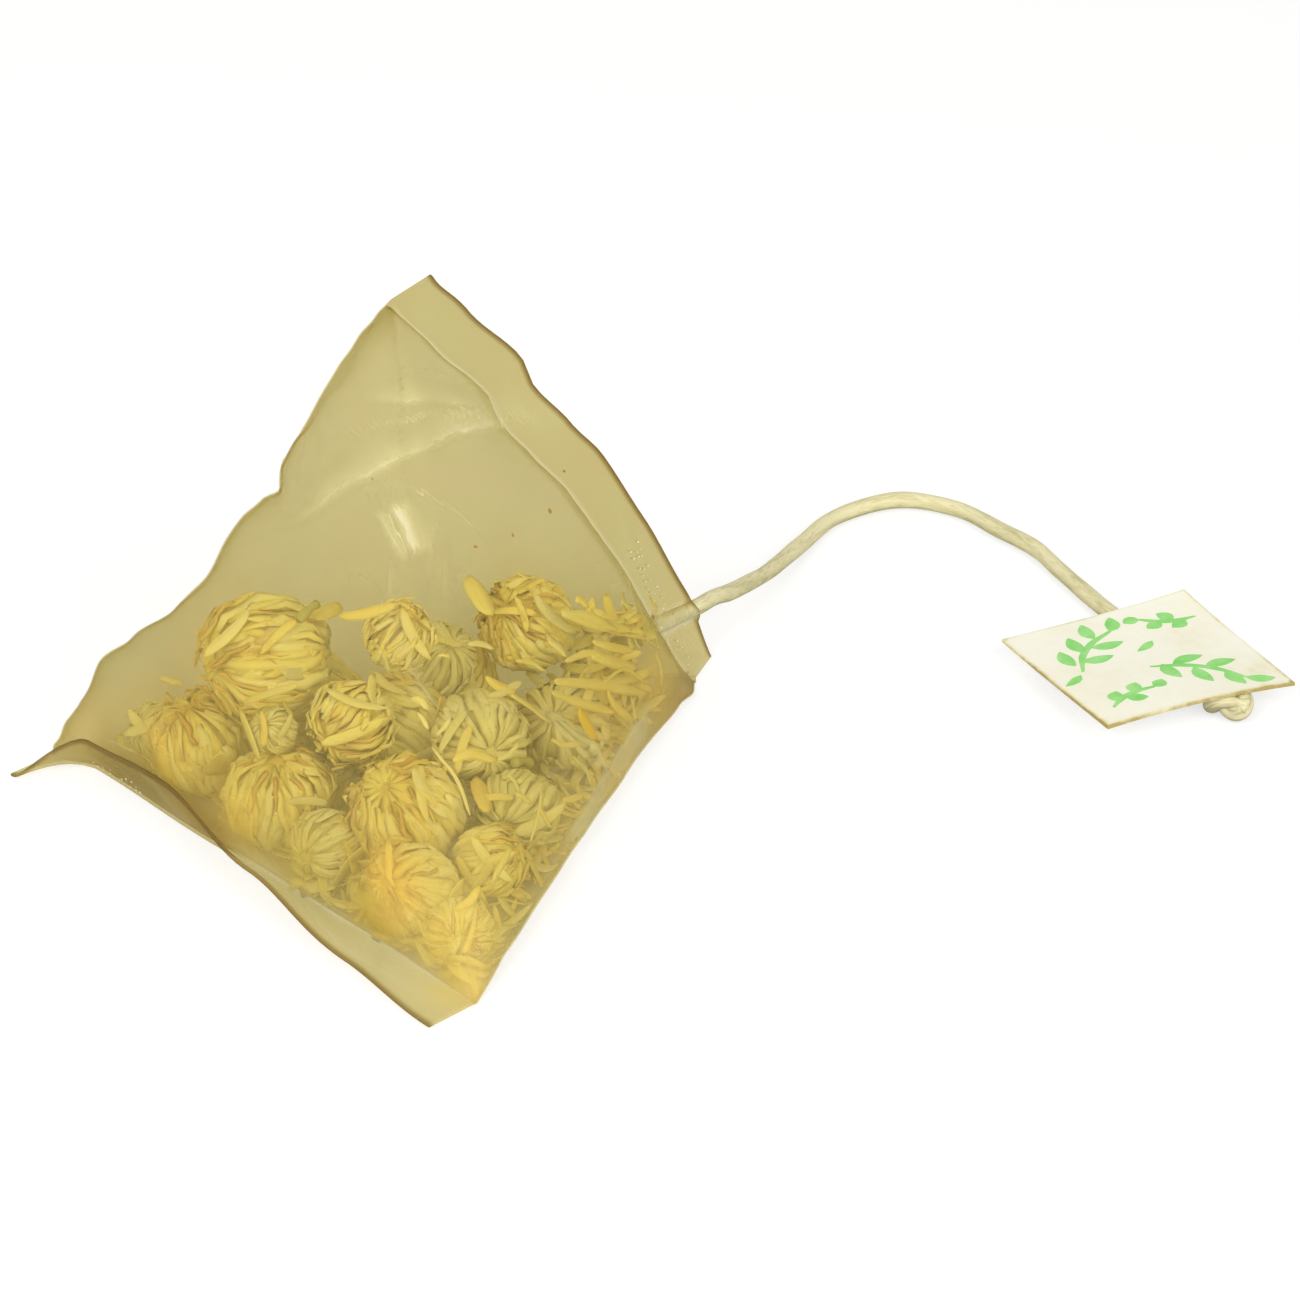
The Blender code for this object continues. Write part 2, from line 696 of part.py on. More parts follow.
def loose_petal(name, beads):
    """A curved strip with a thickness along its beads."""
    ends = (beads[-1] - beads[0]).normalized() * PETAL_WIDTH * 0.42
    line = smooth_line([beads[0] - ends, *beads, beads[-1] + ends], 1.0)
    line = [line[0], *smooth_points(beads, ends), line[-1]]
    side_way = (beads[-1] - beads[0]).cross(Vector((0.3, 0.2, 1.0))).normalized()
    shape = bmesh.new()
    rows = [[shape.verts.new(p) for p in row] for row in petal_rows(line, side_way)]
    for row, following in zip(rows, rows[1:]):
        for i in range(2):
            shape.faces.new((row[i], row[i + 1], following[i + 1], following[i]))
    mesh = bpy.data.meshes.new(name)
    shape.to_mesh(mesh)
    shape.free()
    petal = bpy.data.objects.new(name, mesh)
    thick = petal.modifiers.new("thickness", "SOLIDIFY")
    thick.thickness = PETAL_THICKNESS
    thick.offset = 0.0
    return petal


def smooth_points(beads, ends):
    """Three points of a petal between its ends."""
    return [beads[0] + ends * 0.2, beads[1], beads[-1] - ends * 0.2]


def loose_bits(collection, places):
    """Loose petals and stem bits lying among the heads."""
    petal_finish = material("dried_petal", "DBC45A", 0.85)
    stem_finish = material("dried_stem", "8A7B3C", 0.9)
    first = len(HEADS)
    for index, (_, _, _, _, _, kind) in enumerate(BITS):
        beads = [Vector(places[first + k]) for k in range(BEADS_IN_BIT)]
        first += BEADS_IN_BIT
        name = f"loose_{kind}_{index + 1:02d}"
        if kind == "petal":
            bit = loose_petal(name, beads)
            bit.data.materials.append(petal_finish)
        else:
            bit = cylinder(name, STEM_DIAMETER / 2, beads[0], beads[-1], 8)
            bit.data.materials.append(stem_finish)
        collection.objects.link(bit)


def main():
    for old in list(bpy.data.objects):
        bpy.data.objects.remove(old)
    collection = bpy.data.collections.new("tea_bag")
    cutters = bpy.data.collections.new("cutters")
    bpy.context.scene.collection.children.link(collection)
    bpy.context.scene.collection.children.link(cutters)
    line = thread_tube(collection)
    knot(collection, line)
    tag(collection)
    hollow = film(collection, cutters)
    places = settle(hollow, line)
    flower_heads(collection, places)
    loose_bits(collection, places)


main()
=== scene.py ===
# Looks of the pyramid tea bag: woven film, dried chrysanthemum heads, cotton thread, knot and tag.
import math
from collections import defaultdict

import bmesh
import bpy
import numpy as np
from mathutils import Matrix, Vector
from mathutils.bvhtree import BVHTree


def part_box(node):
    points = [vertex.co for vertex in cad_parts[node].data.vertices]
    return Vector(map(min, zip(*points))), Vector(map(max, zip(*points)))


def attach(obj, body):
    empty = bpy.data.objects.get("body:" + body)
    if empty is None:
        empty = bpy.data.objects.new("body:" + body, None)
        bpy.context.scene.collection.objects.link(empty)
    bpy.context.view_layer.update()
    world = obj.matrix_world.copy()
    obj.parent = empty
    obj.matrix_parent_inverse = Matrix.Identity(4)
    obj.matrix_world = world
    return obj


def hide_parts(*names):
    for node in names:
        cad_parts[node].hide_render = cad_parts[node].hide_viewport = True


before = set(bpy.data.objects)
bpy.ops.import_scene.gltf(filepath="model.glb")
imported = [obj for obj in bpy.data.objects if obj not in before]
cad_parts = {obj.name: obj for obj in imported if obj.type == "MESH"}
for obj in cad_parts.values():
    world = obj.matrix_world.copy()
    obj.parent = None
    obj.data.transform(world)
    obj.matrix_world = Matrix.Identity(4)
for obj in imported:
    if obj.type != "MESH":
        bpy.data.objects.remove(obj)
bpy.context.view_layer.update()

MM = 0.001

# ---------------------------------------------------------------- sizes, as in the CAD source
SEAM_LENGTH = 58 * MM
TUBE_LENGTH = 52 * MM
STRING_FIN_WIDTH = 4.2 * MM
TABLE_FIN_WIDTH = 4.7 * MM
# how far the front, rear, bottom and right side bulge
BULGES = (3.4 * MM, 1.4 * MM, 0.0, 2.4 * MM)
STRING_SEAM_LEAN = 1.2 * MM
THREAD_DIAMETER = 1.6 * MM
EXIT_HEIGHT = 6.2 * MM
TAIL_INSIDE = 5 * MM
TAG_SIDE = 20 * MM
TAG_CENTRE = (64.2 * MM, -32.5 * MM)
TAG_TURN = -18.4
KNOT_CENTRE = np.array((65.2, -41.6, 1.45)) * MM
THREAD_ROUTE = (
    (0.0403, 0.0010, 0.0056),
    (0.0433, 0.0020, 0.0046),
    (0.0479, 0.0040, 0.0032),
    (0.0524, 0.0058, 0.0021),
    (0.0596, 0.0088, 0.0011),
    (0.0658, 0.0108, 0.00083),
    (0.0710, 0.0103, 0.00083),
    (0.0746, 0.0082, 0.00083),
    (0.0766, 0.0031, 0.00083),
    (0.0762, -0.0027, 0.00083),
    (0.0758, -0.0078, 0.00083),
    (0.0741, -0.0126, 0.00083),
    (0.0715, -0.0202, 0.00083),
    (0.0693, -0.0281, 0.00083),
    (0.0675, -0.0345, 0.00083),
)

# The film's own fineness: points on each of the four sides, rings along the tube, rings across a fin
SIDE_POINTS = (64, 56, 64, 56)
TUBE_RINGS = 132
FIN_RINGS = 8
WALL = 0.12 * MM
FIN_THICKNESS = 0.34 * MM
FOLD_RADIUS = 3.2 * MM

# Shape of the soft folds: share of the way from the table seam, outward shift in mm
FRONT_FOLD = ((0, 0), (0.3, 0.6), (0.55, 0.2), (0.66, -0.5), (0.8, 0.6), (0.95, 1.5), (1, 1.5))
LEFT_FOLD = (
    (0, 0.6), (0.03, 1.8), (0.08, 3.1), (0.13, 3.5), (0.2, 4.0), (0.27, 2.4), (0.36, 0.8),
    (0.44, 0.0), (0.55, 0.5), (0.60, 0.0), (0.635, -0.6), (0.68, 0.9), (0.74, 1.6), (0.82, 2.2),
    (0.9, 2.1), (0.96, 1.9), (1, 1.5),
)
REAR_FOLD = ((0, 0), (0.5, 1.6), (1, 0))
RIGHT_FOLD = ((0, 0.3), (0.1, 0.9), (0.22, 1.0), (0.4, 1.4), (0.65, 2.0), (0.85, 2.2), (0.93, 1.8), (1, 0.0))
STRING_SEAM_BOW = ((0, 0.2), (0.1, 0.8), (0.24, 1.9), (0.3, 1.1), (0.4, 1.6), (0.5, 2.2), (0.68, 2.0), (0.9, 1.1),
      (1, 0.2))
TABLE_SEAM_IN = ((0, 0), (0.25, 0.6), (0.6, 1.1), (0.92, 1.8), (1, 0))
TABLE_FIN_TURN = ((0, 0), (0.2, 0.11), (0.45, 0.36), (0.72, 0.66), (0.9, 0.58), (1, 0))

# Creases that whiten the film, with a painted highlight on their lit left side when followed: places in mm, width,
# height, strength
CREASES = (
    (((20.2, -0.3, 31.6), (15.2, -0.3, 34.2), (10.7, 0.3, 36.3), (5.0, -1.6, 39.4), (1.2, -3.0, 41.3),
      (-0.7, 0.8, 40.7), (-1.1, 3.0, 39.6)), 1.6, 0.08, 0.52),
    (((21.9, -0.3, 30.9), (18.3, -0.3, 32.4), (16.0, -0.3, 33.2), (11.4, -0.1, 34.3), (6.1, -2.3, 36.4),
      (-0.4, -5.3, 38.1),
      (-2.4, -2.9, 36.6), (-2.9, -1.4, 35.3), (-3.7, 1.1, 33.4), (-4.7, 3.5, 31.0), (-5.5, 5.4, 29.1),
      (-6.4, 8.0, 27.2)), 2.4, 0.22, 0.6),
    (((26.3, -0.3, 23.6), (26.8, -0.3, 21.8), (27.4, -0.3, 19.1), (28.2, -0.3, 16.2), (27.9, -0.3, 13.7),
      (29.3, 0.6, 9.7), (28.7, -0.5, 7.6)), 0.5, 0.06, 0.5),
    (((-4.7, 6.2, 31.0), (-4.0, 6.6, 32.5), (-3.2, 6.6, 34.7), (-2.1, 6.3, 37.3)), 2.8, 0.2, 0.34),
    (((18.3, -0.3, 30.5), (17.3, -0.3, 33.8), (16.7, -0.3, 36.5)), 1.4, 0.1, 0.2),
    (((-4.9, -9.6, 30.6), (-4.4, -8.0, 31.9), (-3.9, -6.5, 33.0), (-3.5, -4.6, 33.8)), 1.9, 0.06, 0.8),
    (((-5.2, -8.6, 29.8), (-4.9, -7.0, 30.9), (-4.4, -5.0, 32.0), (-4.0, -3.0, 32.9)), 1.6, 0.05, 0.56),
    (((-7.0, -8.1, 25.4), (-6.2, -7.3, 27.2), (-5.3, -6.5, 29.5)), 0.9, 0.25, 0.34),
    (((-4.1, -11.5, 27.1), (-2.2, -10.0, 28.2), (-1.3, -8.7, 30.3)), 1.1, 0.2, 0.3),
    (((34.3, 0.7, 2.3), (32.4, -0.3, 6.1), (30.7, -0.3, 9.5)), 0.5, 0.05, 0.5),
    (((-16.7, 11.6, 1.5), (-16.1, 18.8, 3.1), (-16.4, 26.0, 2.4)), 0.9, 0.2, 0.35),
    (((-17.9, -20.5, -1.5), (-17.7, -10.9, -0.9), (-17.4, -1.1, -0.3), (-17.2, 5.5, 0.4)), 1.0, 0.15, 0.3),
    (((5.7, -16.2, -0.1), (15.1, -11.3, -1.0), (23.7, -6.9, -2.1)), 0.9, 0.1, 0.16),
    (((-9.6, -16.4, 18.9), (-6.6, -15.8, 19.2), (-2.8, -14.3, 17.6), (0.8, -13.1, 15.5), (2.7, -12.6, 14.0),
      (3.1, -13.0, 12.3)), 1.3, 0.1, 0.24),
    (((6.2, -11.3, 12.3), (9.7, -10.3, 9.6), (12.0, -10.0, 7.1), (14.4, -9.6, 4.7), (15.6, -9.5, 3.0),
      (16.2, -9.9, 1.1), (16.3, -10.4, -0.5)), 1.3, 0.1, 0.26),
    (((4.0, -16.8, 0.9), (10.2, -13.3, 0.9), (15.4, -10.3, 1.1), (22.0, -6.7, 1.1),
      (28.4, -3.2, 0.8)), 1.7, 0.0, 0.2),
    (((-6.4, -8.3, 26.7), (-7.5, -10.6, 24.2), (-8.4, -13.5, 21.8), (-9.3, -17.0, 19.6)), 1.6, 0.1, 0.22),
    (((-1.3, -10.1, 26.4), (-1.5, -11.2, 24.0), (-1.8, -12.4, 21.2), (-2.1, -13.6, 18.3)), 1.2, 0.1, 0.18),
)

# Petals that lie against the film inside: three places along each in mm, width in mm, finish
FILM_PETALS = (
    (((12.8, -8.0, 11.1), (20.0, -5.6, 6.9), (28.7, -2.8, 1.4)), 1.5, "yellow"),
    (((17.2, -4.2, 14.9), (22.5, -2.4, 11.7), (26.7, -1.3, 8.4)), 1.6, "yellow"),
    (((20.4, -2.6, 14.3), (21.5, -2.1, 13.9), (22.4, -2.1, 12.7)), 1.1, "bright"),
    (((15.6, -8.0, 7.1), (16.8, -8.0, 5.1), (17.5, -8.3, 3.3)), 2.3, "orange"),
    (((7.0, -9.4, 16.2), (9.6, -8.5, 14.6), (11.6, -8.1, 12.7)), 0.7, "yellow"),
    (((-0.2, -11.4, 21.4), (2.1, -10.6, 20.3), (3.9, -10.1, 18.9)), 0.8, "yellow"),
    (((0.5, -13.0, 16.2), (2.7, -12.2, 14.9), (3.8, -12.3, 13.2)), 0.8, "grey"),
    (((-9.1, -18.3, 16.2), (-4.6, -16.5, 14.4), (-0.7, -15.3, 11.6)), 1.4, "yellow"),
    (((-0.7, -15.3, 11.6), (1.6, -14.4, 10.9), (3.8, -13.2, 10.7)), 0.7, "yellow"),
    (((1.1, -17.4, 3.4), (3.5, -15.8, 4.3), (5.3, -14.3, 5.7)), 0.6, "yellow"),
    (((0.7, -16.0, 7.9), (1.9, -15.7, 6.9), (2.9, -15.6, 5.7)), 0.8, "yellow"),
    (((30.7, -0.3, 9.9), (31.9, -0.3, 7.3), (33.6, 0.7, 3.5)), 0.7, "yellow"),
    (((32.7, 0.0, 3.0), (33.0, -0.4, 1.3), (32.0, -1.4, 0.2)), 0.6, "yellow"),
    (((21.3, -5.1, 6.3), (26.1, -2.9, 5.0), (29.5, -2.2, 1.8)), 0.5, "yellow"),
    (((25.8, -4.0, 2.6), (25.9, -4.3, 1.4), (25.2, -5.1, 0.5)), 0.7, "grey"),
    (((13.4, -6.5, 14.4), (14.9, -6.2, 13.1), (16.1, -6.0, 11.5)), 0.9, "yellow"),
    (((-6.8, -14.2, 23.9), (-5.5, -13.7, 23.3), (-3.9, -13.2, 22.3)), 0.4, "bright"),
    (((-9.2, -12.3, 19.8), (-9.1, -13.7, 20.2), (-9.2, -15.3, 20.0)), 0.9, "yellow"),
    (((-9.5, -13.6, 19.1), (-9.6, -14.5, 18.9), (-9.8, -15.8, 18.5)), 0.6, "yellow"),
    (((-9.7, -17.4, 18.6), (-8.6, -17.0, 19.1), (-7.3, -16.3, 19.1)), 0.6, "grey"),
    (((8.4, -13.6, 2.8), (10.2, -12.9, 1.9), (12.2, -12.1, 1.1)), 0.9, "bright"),
    (((4.0, -15.4, 4.6), (4.6, -15.4, 3.6), (5.1, -15.7, 2.2)), 0.9, "yellow"),
    (((-10.2, -16.9, 17.4), (-9.3, -19.1, 14.6), (-8.0, -19.7, 11.0)), 0.5, "grey"),
    (((-12.2, 7.5, 12.6), (-11.5, 4.6, 14.4), (-10.7, 1.5, 16.2)), 1.1, "yellow"),
    (((-7.9, -1.4, 23.1), (-7.5, -3.7, 24.0), (-6.7, -7.6, 26.1)), 1.4, "bright"),
    (((-12.9, 19.1, 10.8), (-12.8, 17.4, 11.0), (-12.7, 15.8, 11.4)), 0.9, "grey"),
    (((21.3, -3.7, 10.2), (24.6, -2.6, 7.9), (28.6, -1.4, 5.4)), 1.2, "yellow"),
    (((15.6, -6.4, 11.4), (20.3, -4.4, 9.6), (23.6, -3.5, 7.1)), 1.0, "bright"),
    (((28.9, 0.5, 9.9), (30.5, 0.8, 8.5), (31.5, 0.8, 7.0)), 0.9, "yellow"),
    (((12.3, -10.8, 4.6), (14.1, -10.6, 2.3), (14.0, -11.2, 0.9)), 0.8, "grey"),
    (((9.4, -11.2, 7.8), (11.5, -10.6, 6.1), (14.4, -9.6, 4.7)), 0.8, "yellow"),
    (((-7.2, -21.6, 4.8), (-4.5, -20.0, 4.7), (-2.4, -18.8, 5.0)), 1.0, "yellow"),
    (((-14.8, -24.0, 6.2), (-12.8, -24.1, 6.4), (-9.6, -22.5, 5.8)), 1.1, "bright"),
    (((-16.7, -23.2, 1.5), (-16.1, -24.6, 3.1), (-15.2, -25.5, 5.1)), 1.1, "yellow"),
    (((0.3, -15.5, 9.9), (1.3, -15.4, 8.6), (1.4, -15.7, 7.5)), 0.7, "grey"),
    (((1.2, -12.0, 17.8), (3.1, -11.6, 16.0), (5.5, -10.9, 14.2)), 1.4, "bright"),
    (((1.0, -12.7, 16.3), (3.5, -11.7, 15.3), (7.0, -10.1, 14.3)), 1.1, "grey"),
    (((11.7, -8.8, 10.8), (15.6, -7.7, 7.8), (21.7, -6.0, 3.4)), 1.3, "yellow"),
    (((17.6, -4.0, 14.7), (22.2, -2.7, 11.4), (29.3, -0.3, 7.0)), 1.5, "bright"),
    (((20.5, -4.4, 9.2), (23.9, -3.4, 6.9), (28.2, -2.1, 3.9)), 1.6, "yellow"),
    (((21.7, -5.2, 5.4), (22.6, -5.4, 3.5), (24.7, -5.1, 1.2)), 1.3, "bright"),
    (((20.0, 0.4, 22.9), (20.2, 0.4, 22.7), (20.4, 0.4, 22.3)), 0.55, "crumb"),
    (((23.0, 2.7, 24.6), (23.2, 2.7, 24.5), (23.3, 2.7, 24.3)), 0.25, "crumb"),
    (((12.3, -3.3, 24.5), (12.4, -3.3, 24.3), (12.4, -3.3, 24.1)), 0.3, "crumb"),
    (((-3.2, -1.2, 34.6), (-3.1, -1.2, 34.4), (-3.0, -1.2, 34.3)), 0.25, "crumb"),
    (((5.3, -6.2, 27.0), (5.5, -6.2, 26.8), (5.7, -6.2, 26.8)), 0.3, "crumb"),
)

# Flower heads: crown direction in degrees around from +X and up, kind, shift in mm, size factor
HEADS = (
    (164, 9, "full", (-0.6, 0.4, 0.3), 1.08),
    (155, 71, "full", (-0.7, 0.0, 0.2), 1.06),
    (188, -6, "open", (-0.0, 0.4, 1.6), 0.86),
    (214, 80, "full", (-0.1, -1.8, -0.2), 1.20),
    (180, 56, "full", (-1.6, 0.6, 0.9), 1.08),
    (185, 36, "full", (-1.8, 0.0, -0.6), 1.16),
    (179, 45, "full", (-0.7, 1.0, 1.7), 0.84),
    (307, 45, "open", (0.1, 0.4, 1.3), 0.69),
    (246, 8, "bud", (0.2, -0.3, 0.2), 1.02),
    (211, 41, "bud", (-0.0, 0.6, 1.0), 1.02),
    (208, 3, "bud", (0.0, 0.4, 0.1), 1.02),
    (186, -1, "bud", (-0.3, 0.0, -0.1), 1.05),
    (300, 30, "full", (-0.3, 0.2, -0.1), 1.08),
    (230, 20, "full", (-0.6, 0.0, -0.3), 1.20),
    (280, 30, "open", (0.2, -0.2, 0.2), 1.10),
    (120, 30, "full", (0, 0, 0), 1.00),
    (100, 10, "full", (0, 0, 0), 1.00),
    (271, 50, "bud", (0.7, -1.5, -4.4), 0.74),
    (60, 20, "full", (0, 0, 0), 1.00),
    (180, 30, "bud", (0.6, -0.8, -0.6), 0.88),
    (190, 40, "bud", (0.6, 0.4, -1.0), 0.86),
)
CAMERA = np.array((-0.22712, -0.27799, 0.2145))


# ---------------------------------------------------------------- numbers and lines
def vec(*numbers):
    return np.array(numbers, float)


def unit(ways):
    """The same ways, of length one."""
    return ways / np.linalg.norm(ways, axis=-1, keepdims=True)


def lerp(a, b, share):
    return a + (b - a) * share


def bell(numbers, width, power=2):
    """One at nought, fading over the width."""
    return np.exp(-((numbers / width) ** power))


def lengths_along(line):
    """How far along a line each of its points lies."""
    return np.concatenate([[0], np.cumsum(np.linalg.norm(np.diff(line, axis=0), axis=1))])


def through(shape, share):
    """The value at a share of the way, smooth between the shape's points."""
    for (start, low), (end, high) in zip(shape, shape[1:]):
        if share <= end:
            part = max(0.0, (share - start) / (end - start))
            return low + (high - low) * part * part * (3 - 2 * part)
    return shape[-1][1]


def smooth_line(places, spacing):
    """Points at even spacing on a smooth curve through the places."""
    curve = [np.array(p, float) for p in places]
    padded = [curve[0] * 2 - curve[1], *curve, curve[-1] * 2 - curve[-2]]
    fine = []
    for a, b, c, d in zip(padded, padded[1:], padded[2:], padded[3:]):
        for u in np.linspace(0, 1, 16, endpoint=False):
            bent = (2 * a - 5 * b + 4 * c - d) * u**2 + (3 * b - a - 3 * c + d) * u**3
            fine.append(0.5 * (2 * b + (c - a) * u + bent))
    fine = np.array([*fine, curve[-1]])
    lengths = lengths_along(fine)
    count = max(2, round(lengths[-1] / spacing))
    wanted = np.linspace(0, lengths[-1], count + 1)
    return np.stack([np.interp(wanted, lengths, fine[:, k]) for k in range(3)], 1)


# ---------------------------------------------------------------- meshes
def point_attribute(obj, name, values):
    """A number or a way for each point."""
    values = np.asarray(values, np.float32)
    kind, field = ("FLOAT_VECTOR", "vector") if values.ndim > 1 else ("FLOAT", "value")
    obj.data.attributes.new(name, kind, "POINT").data.foreach_set(field, values.ravel())


def mesh_object(name, places, faces=(), finish=None, smooth=True, **values):
    """A new object with its material and its point attributes."""
    mesh = bpy.data.meshes.new(name)
    mesh.from_pydata([tuple(p) for p in places], [], faces)
    mesh.update()
    if smooth:
        mesh.shade_smooth()
    if finish:
        mesh.materials.append(finish)
    made = bpy.data.objects.new(name, mesh)
    bpy.context.scene.collection.objects.link(made)
    for key, numbers in values.items():
        point_attribute(made, key, numbers)
    return made


def baked(obj):
    """Makes an object and its modifiers one plain mesh."""
    plain = bpy.data.meshes.new_from_object(obj.evaluated_get(bpy.context.evaluated_depsgraph_get()))
    obj.modifiers.clear()
    obj.data = plain
    plain.name = obj.name
    plain.shade_smooth()
    return obj


def thicken(obj, thickness, offset):
    step = obj.modifiers.new("thickness", "SOLIDIFY")
    step.thickness = thickness
    step.offset = offset


def vertex_normals(mesh):
    normals = np.zeros(len(mesh.vertices) * 3, np.float32)
    mesh.vertex_normals.foreach_get("vector", normals)
    return normals.reshape(-1, 3).astype(float)


def set_uv(obj, flat, around=0.0):
    """Gives each point its place on the flat piece, which may close on itself after a distance around."""
    loops = np.zeros(len(obj.data.loops), np.int32)
    obj.data.loops.foreach_get("vertex_index", loops)
    uv = flat[loops].astype(float)
    for face in obj.data.polygons if around else ():
        part = uv[face.loop_start : face.loop_start + face.loop_total, 0]
        if part.max() - part.min() > around / 2:
            part[part < around / 2] += around
    obj.data.uv_layers.new(name="UVMap").data.foreach_set("uv", uv.astype(np.float32).ravel())


def quads(rows, count, offset=0, flip=False, closed=False):
    """Faces between rings of points."""
    made = []
    for row in range(rows if closed else rows - 1):
        a, b = offset + row * count, offset + (row + 1) % rows * count
        for i in range(count):
            j = (i + 1) % count
            made.append((a + i, a + j, b + j, b + i) if flip else (a + i, b + i, b + j, a + j))
    return made


def tube(name, line, radius_at, sides, plies=0, pitch=1.0, closed=False):
    """A tube along a line; radius_at gives the radius at turn angles and a length; plies twist once in a pitch."""
    along = lengths_along(line)
    ways = unit((np.roll(line, -1, 0) - np.roll(line, 1, 0)) / 2 if closed else np.gradient(line, axis=0))
    turns = 2 * math.pi * np.arange(sides) / sides
    side = unit(np.cross(ways[0], (0.1, 0.2, 1.0)))
    rings = []
    for place, way, far in zip(line, ways, along):
        side = unit(side - way * (side @ way))
        spokes = np.outer(np.cos(turns), side) + np.outer(np.sin(turns), np.cross(way, side))
        rings.append(place + spokes * radius_at(turns, far)[:, None])
    count = len(line)
    faces = quads(count, sides, flip=True, closed=closed)
    if not closed:
        faces += [tuple(range(sides))[::-1], tuple((count - 1) * sides + i for i in range(sides))]
    made = mesh_object(name, np.concatenate(rings), faces)
    spots, far = np.tile(turns, count), np.repeat(along, sides)
    set_uv(made, np.stack([spots * THREAD_DIAMETER / 2, far], 1))
    # painted shade: 'under' grows where the surface faces sideways or down, and darkens the thread there
    point_attribute(made, "under", np.clip(0.35 - vertex_normals(made.data)[:, 2], 0, 1))
    if plies:
        # painted shade: the colour darkens where the plies meet, wherever the light comes from
        groove = np.maximum(0, -np.cos(plies * spots - 2 * math.pi * far / pitch)) ** 2
        point_attribute(made, "groove", groove)
    return made


# ---------------------------------------------------------------- nodes
def srgb(code):
    """A hex colour in linear numbers."""
    channels = [int(code[i : i + 2], 16) / 255 for i in (0, 2, 4)]
    return (*[c / 12.92 if c <= 0.04045 else ((c + 0.055) / 1.055) ** 2.4 for c in channels], 1)


def node(tree, kind, inputs=None, **settings):
    """Adds a node; an input is a plain value, a socket, a Value, or a node for its first output."""
    made = tree.nodes.new(kind if kind.startswith(("Geometry", "Function", "Node")) else "ShaderNode" + kind)
    for key, value in settings.items():
        setattr(made, key, value)
    for key, value in (inputs or {}).items():
        source = getattr(value, "socket", value)
        if isinstance(source, bpy.types.Node):
            source = source.outputs[0]
        if isinstance(source, bpy.types.NodeSocket):
            tree.links.new(source, made.inputs[key])
        else:
            made.inputs[key].default_value = source
    return made


class Value:
    """An output socket to reckon with; each step adds one Math node."""

    def __init__(self, socket):
        self.socket = socket

    def step(self, operation, *others):
        terms = dict(enumerate((self, *others)))
        return Value(node(self.socket.id_data, "Math", terms, operation=operation).outputs[0])

    def __add__(self, other):
        return self.step("ADD", other)

    def __sub__(self, other):
        return self.step("SUBTRACT", other)

    def __mul__(self, other):
        return self.step("MULTIPLY", other)

    def clamped(self, most=1.0):
        return Value(node(self.socket.id_data, "Clamp", {"Value": self, "Max": most}).outputs[0])


def attribute(tree, name):
    return Value(node(tree, "Attribute", attribute_name=name).outputs["Fac"])


def noise(tree, scale, detail):
    """Noise that keeps to the object."""
    place = node(tree, "TexCoord").outputs["Object"]
    return Value(node(tree, "TexNoise", {"Vector": place, "Scale": scale, "Detail": detail}).outputs[0])


def ramp(tree, factor, *stops):
    """A colour ramp through (place, hex colour) stops."""
    made = node(tree, "ValToRGB", {"Fac": factor})
    elements = made.color_ramp.elements
    while len(elements) < len(stops):
        elements.new(0.5)
    for element, (place, code) in zip(elements, stops):
        element.position = place
        element.color = srgb(code)
    return made.outputs["Color"]


def blend(tree, factor, first, second, kind="MIX"):
    inputs = {"Factor": factor, "A": first, "B": second}
    return node(tree, "Mix", inputs, data_type="RGBA", blend_type=kind).outputs["Result"]


def principled(tree, colour, roughness, specular, bump=(), sheen=0.0):
    """A plain surface; bump is its height, strength and distance."""
    inputs = {"Base Color": colour, "Roughness": roughness, "Specular IOR Level": specular, "Sheen Weight": sheen}
    if bump:
        inputs["Normal"] = node(tree, "Bump", dict(zip(("Height", "Strength", "Distance"), bump)))
    return node(tree, "BsdfPrincipled", inputs)


def material(name, build, *given):
    """A node material; build adds its nodes and returns the last."""
    made = bpy.data.materials.new(name)
    made.use_nodes = True
    made.node_tree.nodes.clear()
    node(made.node_tree, "OutputMaterial", {0: build(made.node_tree, *given)})
    return made


# ---------------------------------------------------------------- camera and light
def placed(name, data, place, turn):
    made = bpy.data.objects.new(name, data)
    bpy.context.scene.collection.objects.link(made)
    made.location = place
    made.rotation_euler = turn.to_euler()
    return made


def camera():
    """The photograph's view."""
    data = bpy.data.cameras.new("camera")
    data.sensor_fit = "HORIZONTAL"
    data.angle = math.radians(16)
    data.clip_start = 0.01
    aim = Vector((0.01732, -0.01459, 0.0150)) - Vector(CAMERA)
    turn = aim.to_track_quat("-Z", "Y").to_matrix() @ Matrix.Rotation(math.radians(-1.06), 3, "Z")
    bpy.context.scene.camera = placed("camera", data, CAMERA, turn)


def area_light(name, place, aim, size, power):
    data = bpy.data.lights.new(name, "AREA")
    data.shape = "DISK"
    data.size = size
    data.energy = power
    placed(name, data, place, (Vector(aim) - Vector(place)).to_track_quat("-Z", "Y"))


def looked_at(tree):
    """One where the backdrop shows plainly, in a reflection or through a fin; nought where it lights the object
    or lies behind the whole bag."""
    rays = node(tree, "LightPath").outputs
    seen = Value(rays["Transparent Depth"]).step("LESS_THAN", 2.5) * rays["Is Camera Ray"]
    return seen.step("MAXIMUM", rays["Is Glossy Ray"]).step("MAXIMUM", rays["Is Transmission Ray"])


def table_look(tree):
    """Smooth white board: shown nearly white with the object's shadow, and plain where it lights the object."""
    plain = node(tree, "BsdfDiffuse", {"Color": (0.78, 0.78, 0.76, 1)})
    pale = node(tree, "BsdfDiffuse", {"Color": (0.36, 0.36, 0.36, 1)})
    glow = node(tree, "Emission", {"Color": (1, 1, 1, 1), "Strength": 0.68})
    return node(tree, "MixShader", {0: looked_at(tree), 1: plain, 2: node(tree, "AddShader", {0: pale, 1: glow})})


